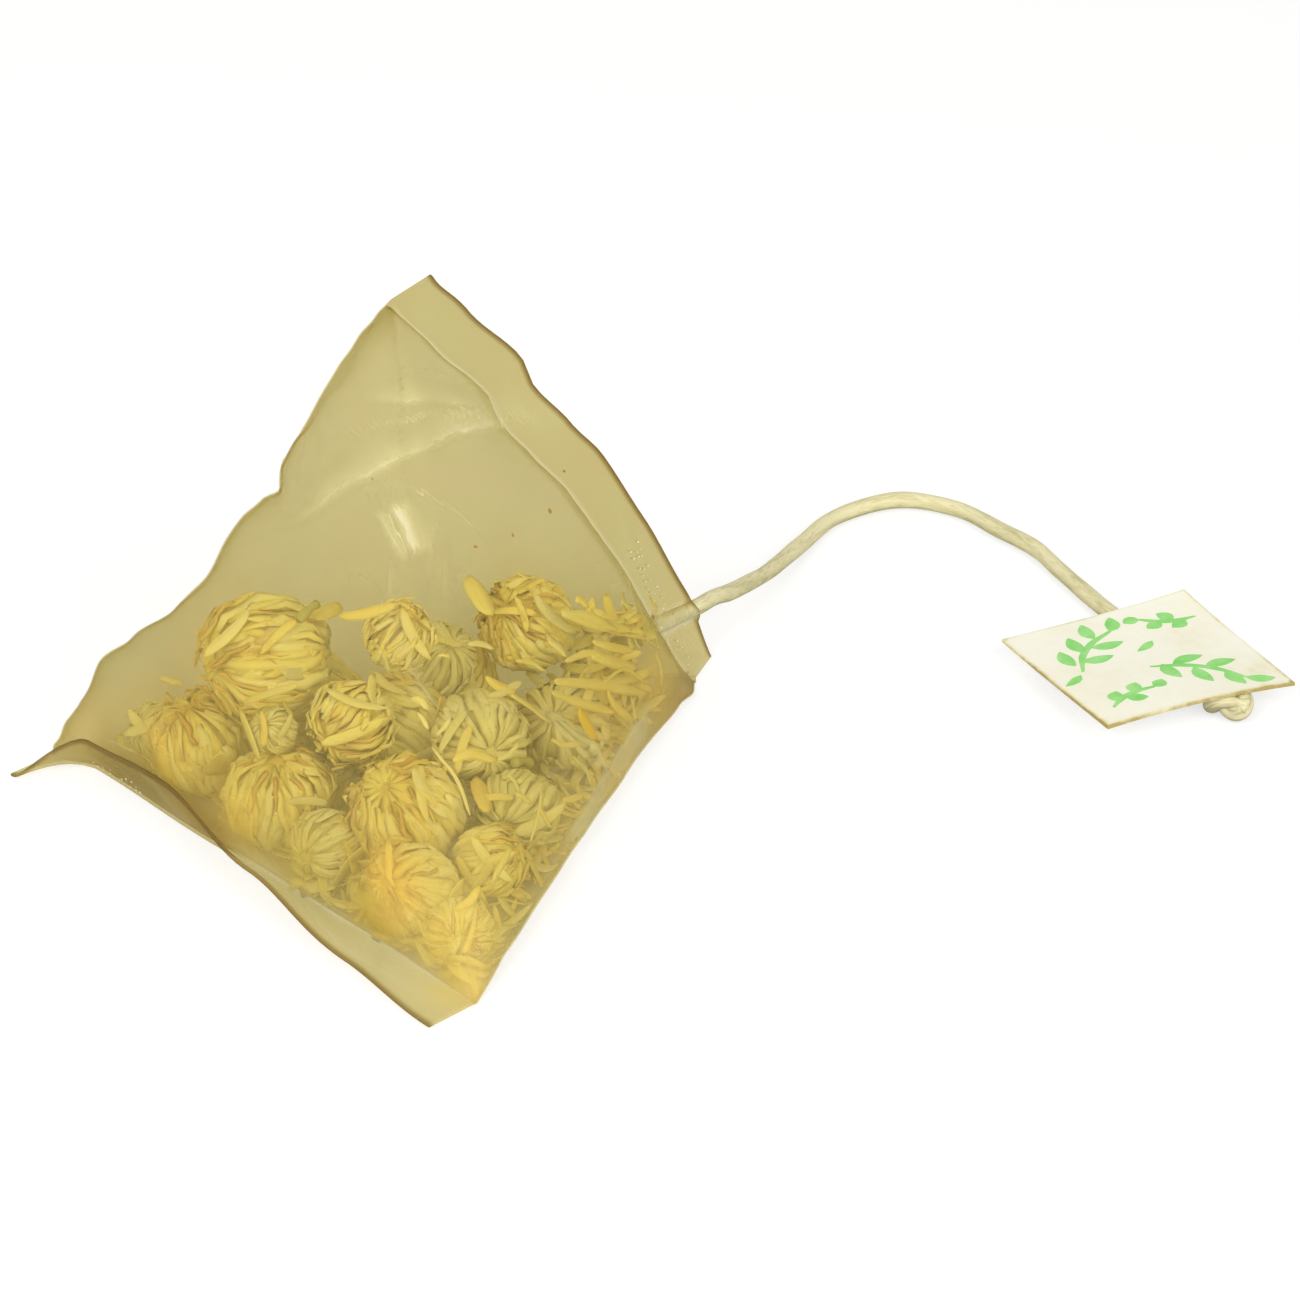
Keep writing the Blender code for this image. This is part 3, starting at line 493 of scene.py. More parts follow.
def studio():
    """White floor and air, with soft light from above and from the left."""
    bpy.context.scene.view_settings.view_transform = "Standard"
    world = bpy.context.scene.world = bpy.data.worlds.new("studio")
    world.use_nodes = True
    tree = world.node_tree
    tree.nodes.clear()
    light = node(tree, "Background", {"Color": srgb("FFFCF4"), "Strength": 0.42})
    white = node(tree, "Background", {"Color": (1, 1, 1, 1), "Strength": 1.0})
    node(tree, "OutputWorld", {0: node(tree, "MixShader", {0: looked_at(tree), 1: light, 2: white})})
    area_light("key", (-0.46, -0.20, 0.40), (0.01, 0, 0.01), 0.35, 2.4)
    area_light("fill", (-0.10, -0.55, 0.36), (0.02, 0, 0.01), 0.4, 2.45)
    area_light("rear", (0.25, 0.5, 0.4), (0, 0, 0.02), 0.4, 0.7)
    corners = [(x * 6.0, y * 6.0, -0.0002) for x, y in ((-1, -1), (1, -1), (1, 1), (-1, 1))]
    floor = mesh_object("table_top", corners, [(0, 1, 2, 3)], material("white table", table_look), smooth=False)


# ---------------------------------------------------------------- the bag's outline
RISE = (2 * TUBE_LENGTH**2 - SEAM_LENGTH**2) / (2 * TUBE_LENGTH)
TIP = vec(-TUBE_LENGTH / 3 + RISE, 0, math.sqrt(TUBE_LENGTH**2 - RISE**2))
STRING_CORNER = vec(2 * TUBE_LENGTH / 3, 0, 0)
RIGHT_CORNER = vec(-TUBE_LENGTH / 3, -SEAM_LENGTH / 2, 0)
LEFT_CORNER = vec(-TUBE_LENGTH / 3, SEAM_LENGTH / 2, 0)
TUBE_AXIS = unit((TIP + STRING_CORNER - RIGHT_CORNER - LEFT_CORNER) / 2)
FRONT_ANGLE = math.pi - math.atan2(TIP[2], TIP[0] - RIGHT_CORNER[0])


def string_seam(share):
    """A place on the string seam, from the tip to the thread corner."""
    droop = 2.4 * MM * max(0.0, (share - 0.92) / 0.08) ** 1.5
    lean = -STRING_SEAM_LEAN * 4 * max(0.0, share * (1 - share)) - droop
    return lerp(TIP, STRING_CORNER, share) + TUBE_AXIS * through(STRING_SEAM_BOW, share) * MM + (0, lean, 0)


def table_fin(share):
    """The table seam's place, the way its fin points and the fin's upper normal."""
    turn = FRONT_ANGLE * through(TABLE_FIN_TURN, share)
    inward = vec(through(TABLE_SEAM_IN, share), 0, 0.3 * math.cos(turn)) * MM
    along = vec(-math.cos(turn), 0, math.sin(turn))
    return lerp(RIGHT_CORNER, LEFT_CORNER, share) + inward, along, vec(math.sin(turn), 0, math.cos(turn))


def string_fin(share):
    """The string seam's place, the way its fin points and the fin's normal; both of its ends follow the folds."""
    wave = 0.35 * MM * math.sin(9 * share + 0.6) * math.sin(math.pi * share)
    upper, lower = (max(0.0, 1 - part / 0.12) ** 2 for part in (share, 1 - share))
    slant = (STRING_CORNER - TIP) / SEAM_LENGTH * 0.42 * upper + (0, wave / STRING_FIN_WIDTH, 0)
    along = lerp(TUBE_AXIS, vec(0.98, 0.52, -0.05), lower) + slant
    return string_seam(-0.026 + share * 1.018) + (0, wave * 0.4, 0), along, vec(0, 1, 0)


def fold_places(t):
    """The four folds at share t of the way from the table seam to the string seam."""
    ends = ((RIGHT_CORNER, TIP), (LEFT_CORNER, TIP), (LEFT_CORNER, STRING_CORNER), (RIGHT_CORNER, STRING_CORNER))
    straight = [lerp(a, b, t) for a, b in ends]
    middle = sum(straight) / 4
    made = []
    # the two folds on the table move straight out from the base's edges
    for place, shape, flat in zip(straight, (FRONT_FOLD, LEFT_FOLD, REAR_FOLD, RIGHT_FOLD), (0, 0, 1, -1)):
        outward = vec(SEAM_LENGTH / 2, flat * TUBE_LENGTH, 0) if flat else place - middle
        made.append(place + unit(outward) * through(shape, t) * MM)
    return made


def side_shares(side):
    """Where a side's points lie along it, closer together near its folds."""
    count = SIDE_POINTS[side]
    return [(1 - math.cos(math.pi * step / count)) / 2 * 0.6 + step / count * 0.4 for step in range(count)]


def bend(q, a, b, c):
    """A place on a round bend from a to c, with its corner at b."""
    return (1 - q) ** 2 * a + 2 * q * (1 - q) * b + q**2 * c


def section(t):
    """One ring of the tube, with round folds and full sides."""
    corners = fold_places(t)
    middle = sum(corners) / 4
    near_table, near_string = (max(0.0, 1 - part / 0.4) ** 2 for part in (t, 1 - t))
    lengths = [np.linalg.norm(corners[(k + 1) % 4] - corners[k]) for k in range(4)]
    ring = []
    for side in range(4):
        start, end, length = corners[side], corners[(side + 1) % 4], lengths[side]
        way = (end - start) / length
        outward = unit((start + end) / 2 - middle)
        first, last = (min(FOLD_RADIUS, 0.42 * length, 0.42 * lengths[k % 4]) for k in (side - 1, side + 1))
        before = start + unit(corners[side - 1] - start) * first
        after = end + unit(corners[(side + 2) % 4] - end) * last
        for share in side_shares(side):
            along = share * length
            if along < first:
                place = bend(0.5 + 0.5 * along / first, before, start, start + way * first)
            elif along > length - last:
                place = bend(0.5 - 0.5 * (length - along) / last, end - way * last, end, after)
            else:
                place = start + way * along
            fullness = math.sin(math.pi * min(max(t, 0), 1)) ** 0.6 * 4 * share * (1 - share)
            place = place + outward * BULGES[side] * fullness
            across = share if side < 2 else 1 - share
            if side in (0, 2):
                place[0] += through(TABLE_SEAM_IN, across) * MM * near_table
            else:
                place += (string_seam(across) - lerp(TIP, STRING_CORNER, across)) * near_string
            ring.append(place)
    return ring


def fin_ring(frame_at, width, first):
    """A ring around a flat welded fin at a distance from its seam; its upper face is on the side called first."""

    def point(share, turn):
        place, along, normal = frame_at(share)
        outward = 0.0
        if share in (0.0, 1.0):
            outward = unit(place - frame_at(lerp(0.02, 0.98, share))[0]) * abs(math.sin(turn))
        return place + along * width + (normal * math.cos(turn) + outward) * FIN_THICKNESS / 2

    ring = []
    for side, count in enumerate(SIDE_POINTS):
        number = (side - first) % 4
        if number % 2:
            end, begin = (1.0, 0.0) if number == 1 else (0.0, math.pi)
            ring += [point(end, begin + math.pi * step / count) for step in range(count)]
        else:
            shares = [1 - s if number else s for s in side_shares(side)]
            ring += [point(min(max(s, 1e-6), 1 - 1e-6), number * math.pi / 2) for s in shares]
    return ring


def flat_places(t):
    """Each ring point's distance around the flat tube, in metres."""
    around, done = [], 0.0
    for side in range(4):
        length = (t if side % 2 else 1 - t) * SEAM_LENGTH
        around += [done + share * length for share in side_shares(side)]
        done += length
    return around


def close_end(offset, start, count, flip):
    """Faces across the narrow end of a tube."""
    made = []
    for step in range(count // 2):
        ids = dict.fromkeys((start + k) % count for k in (step, step + 1, -step - 1, -step))
        if len(ids) > 2:
            made.append([offset + v for v in ids][:: -1 if flip else 1])
    return made


def exit_places():
    """The thread's end inside the bag, and where it leaves the fin's edge."""
    seam = string_seam(1 - EXIT_HEIGHT / TIP[2])[0]
    return vec(seam - TAIL_INSIDE, 0, EXIT_HEIGHT), vec(seam + STRING_FIN_WIDTH / TUBE_AXIS[0], 0, EXIT_HEIGHT)


# ---------------------------------------------------------------- cotton thread
def thread_line():
    inner, outer = exit_places()
    mouth = outer + (THREAD_DIAMETER / 2, 0, 0)
    last = THREAD_ROUTE[-1]
    end = KNOT_CENTRE - unit((KNOT_CENTRE - last) * (1, 1, 0)) * 2.9 * MM
    end[2] = last[2]
    straight = [lerp(inner, mouth, k / 20) for k in range(20)]
    return np.concatenate([straight, smooth_line([mouth, *THREAD_ROUTE, end], 0.5 * MM)])


def cotton_look(tree, light, dark, shade):
    """Loose-spun cotton: soft matte strands laid in a slow twist, with painted shade in the grooves between them and
    on the underside.
    """
    uv = node(tree, "UVMap", uv_map="UVMap")
    turned = node(tree, "Mapping", {"Vector": uv, "Rotation": (0, 0, 0.35), "Scale": (5200, 700, 1)})
    fibre = Value(node(tree, "TexNoise", {"Vector": turned, "Scale": 1.0, "Detail": 3.0}).outputs[0])
    tone = fibre * 0.6 + noise(tree, 160, 2) * 0.4 - attribute(tree, "groove") * shade
    # painted shade on the underside and lower flanks, from the 'under' attribute
    colour = ramp(tree, tone - attribute(tree, "under") * 0.22, (0.22, dark), (0.55, light))
    return principled(tree, colour, 0.92, 0.15, (fibre, 0.35, 0.06 * MM), 0.1)


def make_thread():
    line = thread_line()
    pitch = 16 * MM

    def radius(turn, s):
        lobes = np.cos(3 * turn - 2 * math.pi * s / pitch)
        swell = 1 + 0.03 * math.sin(s * 410) + 0.015 * math.sin(s * 1130 + 1)
        return THREAD_DIAMETER / 2 * (1.01 + 0.02 * lobes) * swell

    made = tube("cotton_thread", line, radius, 20, 3, pitch)
    made.data.materials.append(material("loose spun cotton thread", cotton_look, "DCD4AA", "ABA672", 0.1))
    return made, line


def make_knot():
    """An overhand knot drawn tight: one loop of the thread around itself, and its short frayed end."""
    turns = np.linspace(0, 2 * math.pi, 96, endpoint=False)
    loop = [np.sin(turns) + 2 * np.sin(2 * turns), np.cos(turns) - 2 * np.cos(2 * turns), -np.sin(3 * turns)]
    heading = KNOT_CENTRE - THREAD_ROUTE[-1]
    turn = np.array(Matrix.Rotation(math.atan2(heading[1], heading[0]), 3, "Z"))
    loop = (np.stack(loop, 1) * (0.64, 0.56, 0.60) * MM) @ turn.T + KNOT_CENTRE
    twist = 2, 7 * MM
    rounds = lambda a, s: 0.76 * MM * (0.97 + 0.06 * np.cos(2 * a - s * 900))
    knot = tube("tight_knot", loop, rounds, 16, *twist, closed=True)
    way = unit(heading)
    side = vec(-way[1], way[0], 0)
    # steps along, aside and up from the knot's middle, in mm
    steps = ((-2.9, 0, -0.5), (-1.5, 0, 0), (1.2, 0.5, 0), (2.2, 0.9, 0))
    end_line = smooth_line([KNOT_CENTRE + (way * a + side * b + (0, 0, c)) * MM for a, b, c in steps], 0.3 * MM)
    tail = tube("knot_tail", end_line, lambda a, s: 0.72 * MM * (1 - 0.12 * np.sin(3 * a + s * 3000)), 14, *twist)
    with bpy.context.temp_override(active_object=knot, selected_editable_objects=[knot, tail]):
        bpy.ops.object.join()
    knot.name = knot.data.name = "overhand_knot"
    for v in knot.data.vertices:
        v.co.z = max(v.co.z, 0.03 * MM)
    knot.data.materials.append(material("knotted cotton thread", cotton_look, "E6E0B8", "A39B74", 0.2))
    return knot


# ---------------------------------------------------------------- paper tag
def tag_place(x, y, up=0.0):
    """A place on the tag's upper face from its flat coordinates, with its tilt and slight curl."""
    near = KNOT_CENTRE[2] + 1.7 * MM
    far = THREAD_DIAMETER / 2 + 1.13 * MM
    tilt = math.asin((near - far) / TAG_SIDE)
    half = TAG_SIDE / 2
    out, in_, right = (max(0.0, part / 2 / half) for part in (x + y, -x - y, x - y))
    curl = (0.55 * out**3 - 0.45 * in_**3 - 0.9 * right**2.5 - 0.25 * (1 - (y / half) ** 2)) * MM
    turn = Matrix.Rotation(math.radians(TAG_TURN), 3, "Z") @ Matrix.Rotation(-tilt, 3, "X")
    return turn @ Vector((x, y, curl + up)) + Vector((*TAG_CENTRE, (near + far) / 2 + 0.4 * MM))


def card_look(tree):
    """Uncoated card: matte, a little warm, and darker towards its cut edges."""
    fibre = noise(tree, 900, 4)
    # the colour darkens towards the card's cut edges
    darkened = attribute(tree, "edge").step("POWER", 3.0)
    tone = fibre * 0.35 + noise(tree, 130, 2) * 0.65 - darkened * 0.42
    colour = ramp(tree, tone, (0.02, "A8965A"), (0.2, "DCD4A8"), (0.38, "ECE9D4"), (0.6, "F0EEDF"))
    return principled(tree, colour, 0.86, 0.25, (fibre, 0.2, 0.03 * MM))


def make_tag():
    cells, half = 28, TAG_SIDE / 2
    steps = np.linspace(-half, half, cells + 1)
    flat = [(x, y) for y in steps for x in steps]
    places = [tag_place(x, y, up) for up in (0, -0.36 * MM) for x, y in flat]
    row, lower = cells + 1, len(flat)
    faces = []
    for a in (j * row + i for j in range(cells) for i in range(cells)):
        b = lower + a
        faces += [(a, a + 1, a + row + 1, a + row), (b, b + row, b + row + 1, b + 1)]
    ring = [*range(cells), *range(cells, lower - 1, row)]
    ring += [*range(lower - 1, lower - row, -1), *range(lower - row, 0, -row)]
    faces += [(a, lower + a, lower + b, b) for a, b in zip(ring, ring[1:] + ring[:1])]
    edge = [np.clip(1 - (half - max(abs(x), abs(y))) / (0.9 * MM), 0, 1) for x, y in flat] * 2
    card = mesh_object("paper_tag", places, faces, material("uncoated white card", card_look), False, edge=edge)
    bevel = card.modifiers.new("edge", "BEVEL")
    bevel.width = 0.06 * MM
    bevel.segments = 1
    bevel.limit_method = "ANGLE"
    bevel.angle_limit = math.radians(50)
    return card


def stroke(points, widths):
    """The two sides of a brush stroke through points with a width at each."""
    line = smooth_line([(x, y, 0) for x, y in points], 0.35)[:, :2]
    wide = np.interp(np.linspace(0, 1, len(line)), np.linspace(0, 1, len(widths)), widths) / 2
    way = unit(np.gradient(line, axis=0))
    side = np.stack([-way[:, 1], way[:, 0]], 1) * wide[:, None]
    return np.clip(np.stack([line + side, line - side], 1), -9.9, 9.9)


def ink_look(tree):
    """Offset ink on uncoated card: flat green, sunk in unevenly."""
    return principled(tree, ramp(tree, noise(tree, 420, 3), (0.3, "7ACB63"), (0.7, "A3DD8C")), 0.8, 0.25)


def make_print():
    """Green sprigs of leaves, drawn with a soft brush: a generic pattern for a tea tag."""
    leaf = (0.15, 0.95, 1.4, 1.5, 1.3, 0.85, 0.12)
    strokes = []

    def sprig(x, y, turn, size, leaves):
        c, s = math.cos(turn) * size, math.sin(turn) * size

        def drawn(points, widths):
            strokes.append(([(x + px * c - py * s, y + px * s + py * c) for px, py in points], widths))

        drawn([(-4.6, -0.9), (-1.5, 0.1), (1.5, 0.1), (4.4, -0.8)], (0.25, 0.72, 0.72, 0.36))
        for px, side, length in leaves:
            drawn([(px, 0.15 * side), (px + 0.9, side * length * 0.55), (px + 2.3, side * length)], leaf)
        drawn([(4.4, -0.8), (5.6, -0.7), (7.0, 0.1)], leaf)

    for x, y, turn, size, side in ((-3.9, 4.2, 0.75, 0.98, 1), (3.4, -4.0, -0.72, 1.0, -1)):
        leaves = ((-3.6, 1, 2.5), (-2.6, -1, 2.6), (-0.6, 1, 2.6), (0.5, -1, 2.6), (2.4, 1, 2.2))
        sprig(x, y, turn, size, [(px, side * up, length) for px, up, length in leaves])
    for x, y, turn, size in ((-5.2, -5.8, 0.3, 0.62), (5.6, 5.8, 2.75, 0.6)):
        sprig(x, y, turn, size, ((-2.8, 1, 2.3), (-0.9, -1, 2.4), (1.2, 1, 2.2)))
    for x, y in ((1.2, 2.2), (-8.2, -0.8)):
        strokes.append(([(x - 1.2, y - 0.5), (x, y), (x + 1.1, y + 0.8)], (0.1, 0.7, 1.0, 0.9, 0.1)))
    places, faces = [], []
    for points, widths in strokes:
        sides = stroke(points, widths).reshape(-1, 2)
        base = len(places)
        places += [tag_place(x * MM, y * MM, 0.012 * MM) for x, y in sides]
        faces += [(a, a + 1, a + 3, a + 2) for a in range(base, len(places) - 2, 2)]
    ink = mesh_object("tag_print", places, faces, material("green offset ink", ink_look), False)
    for face in ink.data.polygons:
        if face.normal.z < 0:
            face.flip()
    ink.data.update()
    thicken(ink, 0.02 * MM, 0.0)
    return ink


# ---------------------------------------------------------------- film
def film_rings():
    """The bag's outer skin ring by ring: places, one where welded, one at a cut edge, place along the flat film."""
    rows = []
    for k in range(FIN_RINGS + 1):
        width = TABLE_FIN_WIDTH * (1 - k / FIN_RINGS)
        rows.append((fin_ring(table_fin, width, 0), 1, k == 0, -width))
    for k in range(TUBE_RINGS + 1):
        t = 0.010 + 0.980 * (0.5 * (1 - math.cos(math.pi * k / TUBE_RINGS)) * 0.5 + 0.5 * k / TUBE_RINGS)
        rows.append((section(t), 0, 0, t * TUBE_LENGTH))
    for k in range(FIN_RINGS + 1):
        width = STRING_FIN_WIDTH * k / FIN_RINGS
        rows.append((fin_ring(string_fin, width, 1), 1, k == FIN_RINGS, TUBE_LENGTH + width))
    return [np.array(column, float) for column in zip(*rows)]


def value_noise(places, scale, seed):
    """Smooth noise from a few fixed waves in many directions."""
    picks = np.random.default_rng(seed)
    total = np.zeros(len(places))
    for _ in range(9):
        way = unit(picks.normal(size=3))
        total += np.sin(places @ way * 2 * math.pi / (scale * picks.uniform(0.7, 1.5)) + picks.uniform(0, 6.28))
    return total / 4.0


def on_film(place, wall, inset=0.0):
    """The film's front face where the viewer sees this place, and its normal."""
    way = unit(CAMERA - place)
    hit, normal, _, _ = wall.ray_cast(Vector(place + way * 0.05), Vector(-way))
    if hit is None:
        hit, normal, _, _ = wall.find_nearest(Vector(place))
    return np.array(hit) - np.array(normal) * inset, np.array(normal)


def crease_fields(places, normals, wall):
    """For each place: the distance to its crease in widths, its strength, and how far it lifts the film."""
    gap = np.full(len(places), 8.0)
    force, lift = np.zeros(len(places)), np.zeros(len(places))
    for points, width, rise, amount in CREASES:
        line = smooth_line([on_film(np.array(p) * MM, wall)[0] for p in points], 0.5 * MM)
        away = places[:, None, :] - line[None]
        far = np.linalg.norm(away, axis=2)
        near = far.argmin(1)
        offset = away[np.arange(len(places)), near]
        side = np.sign((np.cross(np.gradient(line, axis=0)[near], normals) * offset).sum(1))
        share = near / (len(line) - 1)
        fade = np.clip(np.minimum(share, 1 - share) * 5 + 0.15, 0, 1)
        scaled = side * far.min(1) / (width * MM)
        stronger = np.abs(scaled) < np.abs(gap)
        gap = np.where(stronger, scaled, gap)
        force = np.where(stronger, fade * amount, force)
        lift += bell(scaled, np.where(side > 0, 1, 1 / 2.2)) * rise * 0.55 * MM * fade
    return gap, force, lift


def surface_normals(places, faces):
    mesh = bpy.data.meshes.new("probe")
    mesh.from_pydata([tuple(p) for p in places], [], faces)
    mesh.update()
    normals = vertex_normals(mesh)
    bpy.data.meshes.remove(mesh)
    return normals


def smooth_rows(grid, times):
    """Evens out values that stand on the film's rings."""
    for _ in range(times):
        padded = np.concatenate([grid[:1], grid, grid[-1:]])
        grid = 0.4 * grid + 0.15 * (np.roll(grid, 1, 1) + np.roll(grid, -1, 1) + padded[:-2] + padded[2:])
    return grid


def slacken(places, normals, t, free):
    """Slack film: long soft waves, and short puckers that run in from the welded edges."""
    loose = np.clip(np.minimum(t, 1 - t) * 8, 0, 1) * free * np.clip(places[:, 2] / (2 * MM), 0, 1)
    waves = value_noise(places, 15 * MM, 3) * 0.34 * MM + value_noise(places, 6 * MM, 8) * 0.11 * MM
    waves = waves * (0.6 + 0.7 * np.clip((places[:, 2] - 20 * MM) / (14 * MM), 0, 1))
    pucker = 0
    for axis, pitch, seed, away, reach, height in ((2, 3.1, 5, 1 - t, 4.5, 0.13), (1, 3.7, 6, t, 4.0, 0.12)):
        phase = places[:, axis] * 2 * math.pi / (pitch * MM) + value_noise(places, 12 * MM, seed) * 1.6
        pucker = pucker + np.sin(phase) * bell(away * TUBE_LENGTH, reach * MM, 1) * height * MM
    return places + normals * (waves * loose + pucker * np.clip(loose * 3, 0, 1))[:, None]


def laid_over(places, heads, free, shape):
    """The film lies over the flower heads that press on it."""
    pressed = places.copy()
    for middle, radius in heads:
        away = pressed - middle
        far = np.linalg.norm(away, axis=1)
        want = radius * 0.98 + 0.15 * MM
        press = (far < want) & free
        pressed[press] = middle + away[press] / far[press][:, None] * want
    moved = smooth_rows((pressed - places).reshape(shape), 10).reshape(-1, 3)
    return places + moved * free[:, None]


def make_film(heads):
    """The film's two skins, and its outer one for finding places on it."""
    rings, welds, rims, alongs = film_rings()
    rows, count = rings.shape[:2]
    places = rings.reshape(-1, 3)
    table_start = sum(SIDE_POINTS[:3]) + SIDE_POINTS[3] // 2
    string_start = SIDE_POINTS[0] // 2
    faces = quads(rows, count) + close_end(0, table_start, count, False)
    faces += close_end((rows - 1) * count, string_start, count, True)
    normals = surface_normals(places, faces)
    turned = ((places - places.mean(0)) * normals).sum() < 0
    if turned:
        faces = [f[::-1] for f in faces]
        normals = -normals
    weld, rim, along = (np.repeat(values, count) for values in (welds, rims, alongs))
    t = np.clip(along / TUBE_LENGTH, 0, 1)
    in_tube = weld < 0.5
    free = in_tube & (places[:, 2] >= 0.15 * MM)
    places = laid_over(slacken(places, normals, t, free), heads, free, rings.shape)
    wall = BVHTree.FromPolygons([tuple(p) for p in places], faces)
    gap, force, lift = crease_fields(places, normals, wall)
    places = places + normals * (lift * np.where(in_tube, free, 0.25))[:, None]
    # the thread makes a round channel in the fin, which whitens where it is stretched
    inner, outer = exit_places()
    aside = places[:, 2] - EXIT_HEIGHT
    gate = (places[:, 0] > inner[0] + 3 * MM) & (places[:, 0] < outer[0] + 0.6 * MM)
    gate &= np.abs(places[:, 1]) < 1.2 * MM
    need = (THREAD_DIAMETER / 2 + 0.14 * MM) * bell(aside, 1.05 * MM)
    lifted = gate & (np.abs(places[:, 1]) < need)
    places[lifted, 1] = np.where(normals[:, 1] >= 0, need, -need)[lifted]
    places[:, 2] = np.maximum(places[:, 2], 0.0)
    stretched = gate & (np.abs(aside) < 1.6 * MM)
    gap = np.where(stretched, np.abs(aside) / (1.1 * MM), gap)
    force = np.where(stretched, np.where(in_tube, 0.3, 2.4), force)

    # the wall's inner face
    first, last = np.nonzero(welds < 0.5)[0][[0, -1]]
    inside = slice(first * count, (last + 1) * count)
    inner_places = (places - surface_normals(places, faces) * WALL)[inside]
    offset = len(places)
    inner_faces = quads(last + 1 - first, count, offset, not turned)
    inner_faces += close_end(offset, table_start, count, not turned)
    inner_faces += close_end(offset + (last - first) * count, string_start, count, turned)
    dust = np.zeros(offset)
    heaps = [(RIGHT_CORNER + vec(0.5, 2.0, 1.0) * MM, 1.8 * MM), (vec(24.0, -2.0, 4.5) * MM, 4.5 * MM)]
    for middle, radius in heads + heaps:
        away = np.linalg.norm(places - middle, axis=1) - radius
        dust = np.maximum(dust, bell(np.maximum(away, 0), 1.7 * MM, 1))
    around = np.concatenate([flat_places(part) for part in t[::count]])
    lap = bell(around - SEAM_LENGTH - 4.5 * MM, 2.2 * MM, 4) * 0.6 * in_tube
    near_weld = np.clip(2 - np.minimum(t, 1 - t) * TUBE_LENGTH / (0.4 * MM), 0, 1) * 0.7
    # painted shade: two of the folds, where the film turns edge-on, are darkened in the material
    folds = [bell(around - (sides - t) * SEAM_LENGTH, width * MM) for sides, width in ((1, 2.2), (2, 0.9))]
    fields = {
        "weld": np.maximum(weld * (1 - 0.85 * gate * bell(aside, 1.1 * MM)), np.maximum(near_weld, lap)),
        "rim": rim,
        "crease_gap": gap,
        "crease_force": force * np.where(in_tube, 1, 0.35),
        "dust": dust * (in_tube | (places[:, 1] < -20 * MM)),
        "fold": in_tube * np.maximum(*folds),
        # painted light: nearness to the table, which makes the film hazier and paler in the material
        "low": bell(np.maximum(places[:, 2], 0), 8.0 * MM, 1) * (1 - 0.3 * weld),
    }
    fields = {key: np.concatenate([values, values[inside]]) for key, values in fields.items()}
    both = np.concatenate([places, inner_places])
    skin = mesh_object("film_bag", both, faces + inner_faces, material("woven nylon film", film_look), **fields)
    flat = np.stack([around, along], 1)
    set_uv(skin, np.concatenate([flat, flat[inside]]), 2 * SEAM_LENGTH)
    return skin, BVHTree.FromPolygons([tuple(p) for p in places], faces)


def film_look(tree):
    """Woven nylon film: sheer threads crossing at right angles, hazy, whitened where creased or welded, with painted
    highlights at the creases, painted shade along two folds and painted light near the table.
    """
    uv = node(tree, "UVMap", uv_map="UVMap")

    # the real threads lie 0.15 mm apart; drawn 0.4 mm apart so that they show
    def threads(way):
        inputs = {"Vector": uv, "Scale": 785.0, "Distortion": 0.4}
        return Value(node(tree, "TexWave", inputs, bands_direction=way).outputs["Fac"])

    weave = threads("X") * threads("Y")
    cloud, patchy = noise(tree, 75, 2.5), noise(tree, 260, 3)
    gap, weld, low, dust = (attribute(tree, key) for key in ("crease_gap", "weld", "low", "dust"))
    # a crease whitens the film, drawn as a painted highlight: a bright line that fades softly on its lit side and
    # sharply on its shaded one
    scaled = gap * (gap.step("LESS_THAN", 0.0) * 2.2 + 1.0) + (patchy * 1.2 - 0.6)
    squared = scaled * scaled
    profile = (squared * -1.0).step("EXPONENT") * 0.8 + (squared * -14.0).step("EXPONENT") * 0.16
    crease = (profile * attribute(tree, "crease_force") * (patchy * 0.8 + 0.58)).clamped()
    # painted shade: the film is darker in tone and tint along the folds; the fins' cut edges are darker too
    edge = attribute(tree, "rim").step("MAXIMUM", attribute(tree, "fold") * 0.55)
    # fine yellow dust from the flowers gathers low in the bag, and pollen rubs off where they touch the film (dust);
    # near the table the film is painted hazier and paler (low), painted light against the bag's own shadow there
    solid = crease * 0.36 + weld * 0.07 + cloud * 0.10 + low * 0.17 + weave * 0.012 + dust * 0.13 + 0.095
    tone = crease * 0.75 + weld * 0.12 + low * 0.52 + cloud * 0.35 - edge * 0.30 + 0.3
    stops = (0.0, "948047"), (0.28, "B6A76F"), (0.60, "C1B47E"), (0.88, "E0D8AA"), (1.0, "F2EDD2")
    powdered = blend(tree, dust * 0.65, ramp(tree, tone, *stops), srgb("F2DE7E"))
    # uneven dye: broad patches that are a little rosier than the rest
    rosy = ((noise(tree, 95, 1) - crease - 0.42) * 3.0).clamped()
    colour = blend(tree, rosy, powdered, srgb("FFF2E4"), "MULTIPLY")
    face = principled(tree, colour, 0.72, 0.15, (weave, 0.15, 0.03 * MM))
    body = node(tree, "MixShader", {0: 0.45, 1: face, 2: node(tree, "BsdfTranslucent", {"Color": colour})})
    tint = ramp(tree, edge * 0.5 + weld * 0.5, (0.0, "FDFBEB"), (0.5, "E8E2BE"), (1.0, "B39C62"))
    return node(tree, "MixShader", {0: solid, 1: node(tree, "BsdfTransparent", {"Color": tint}), 2: body})


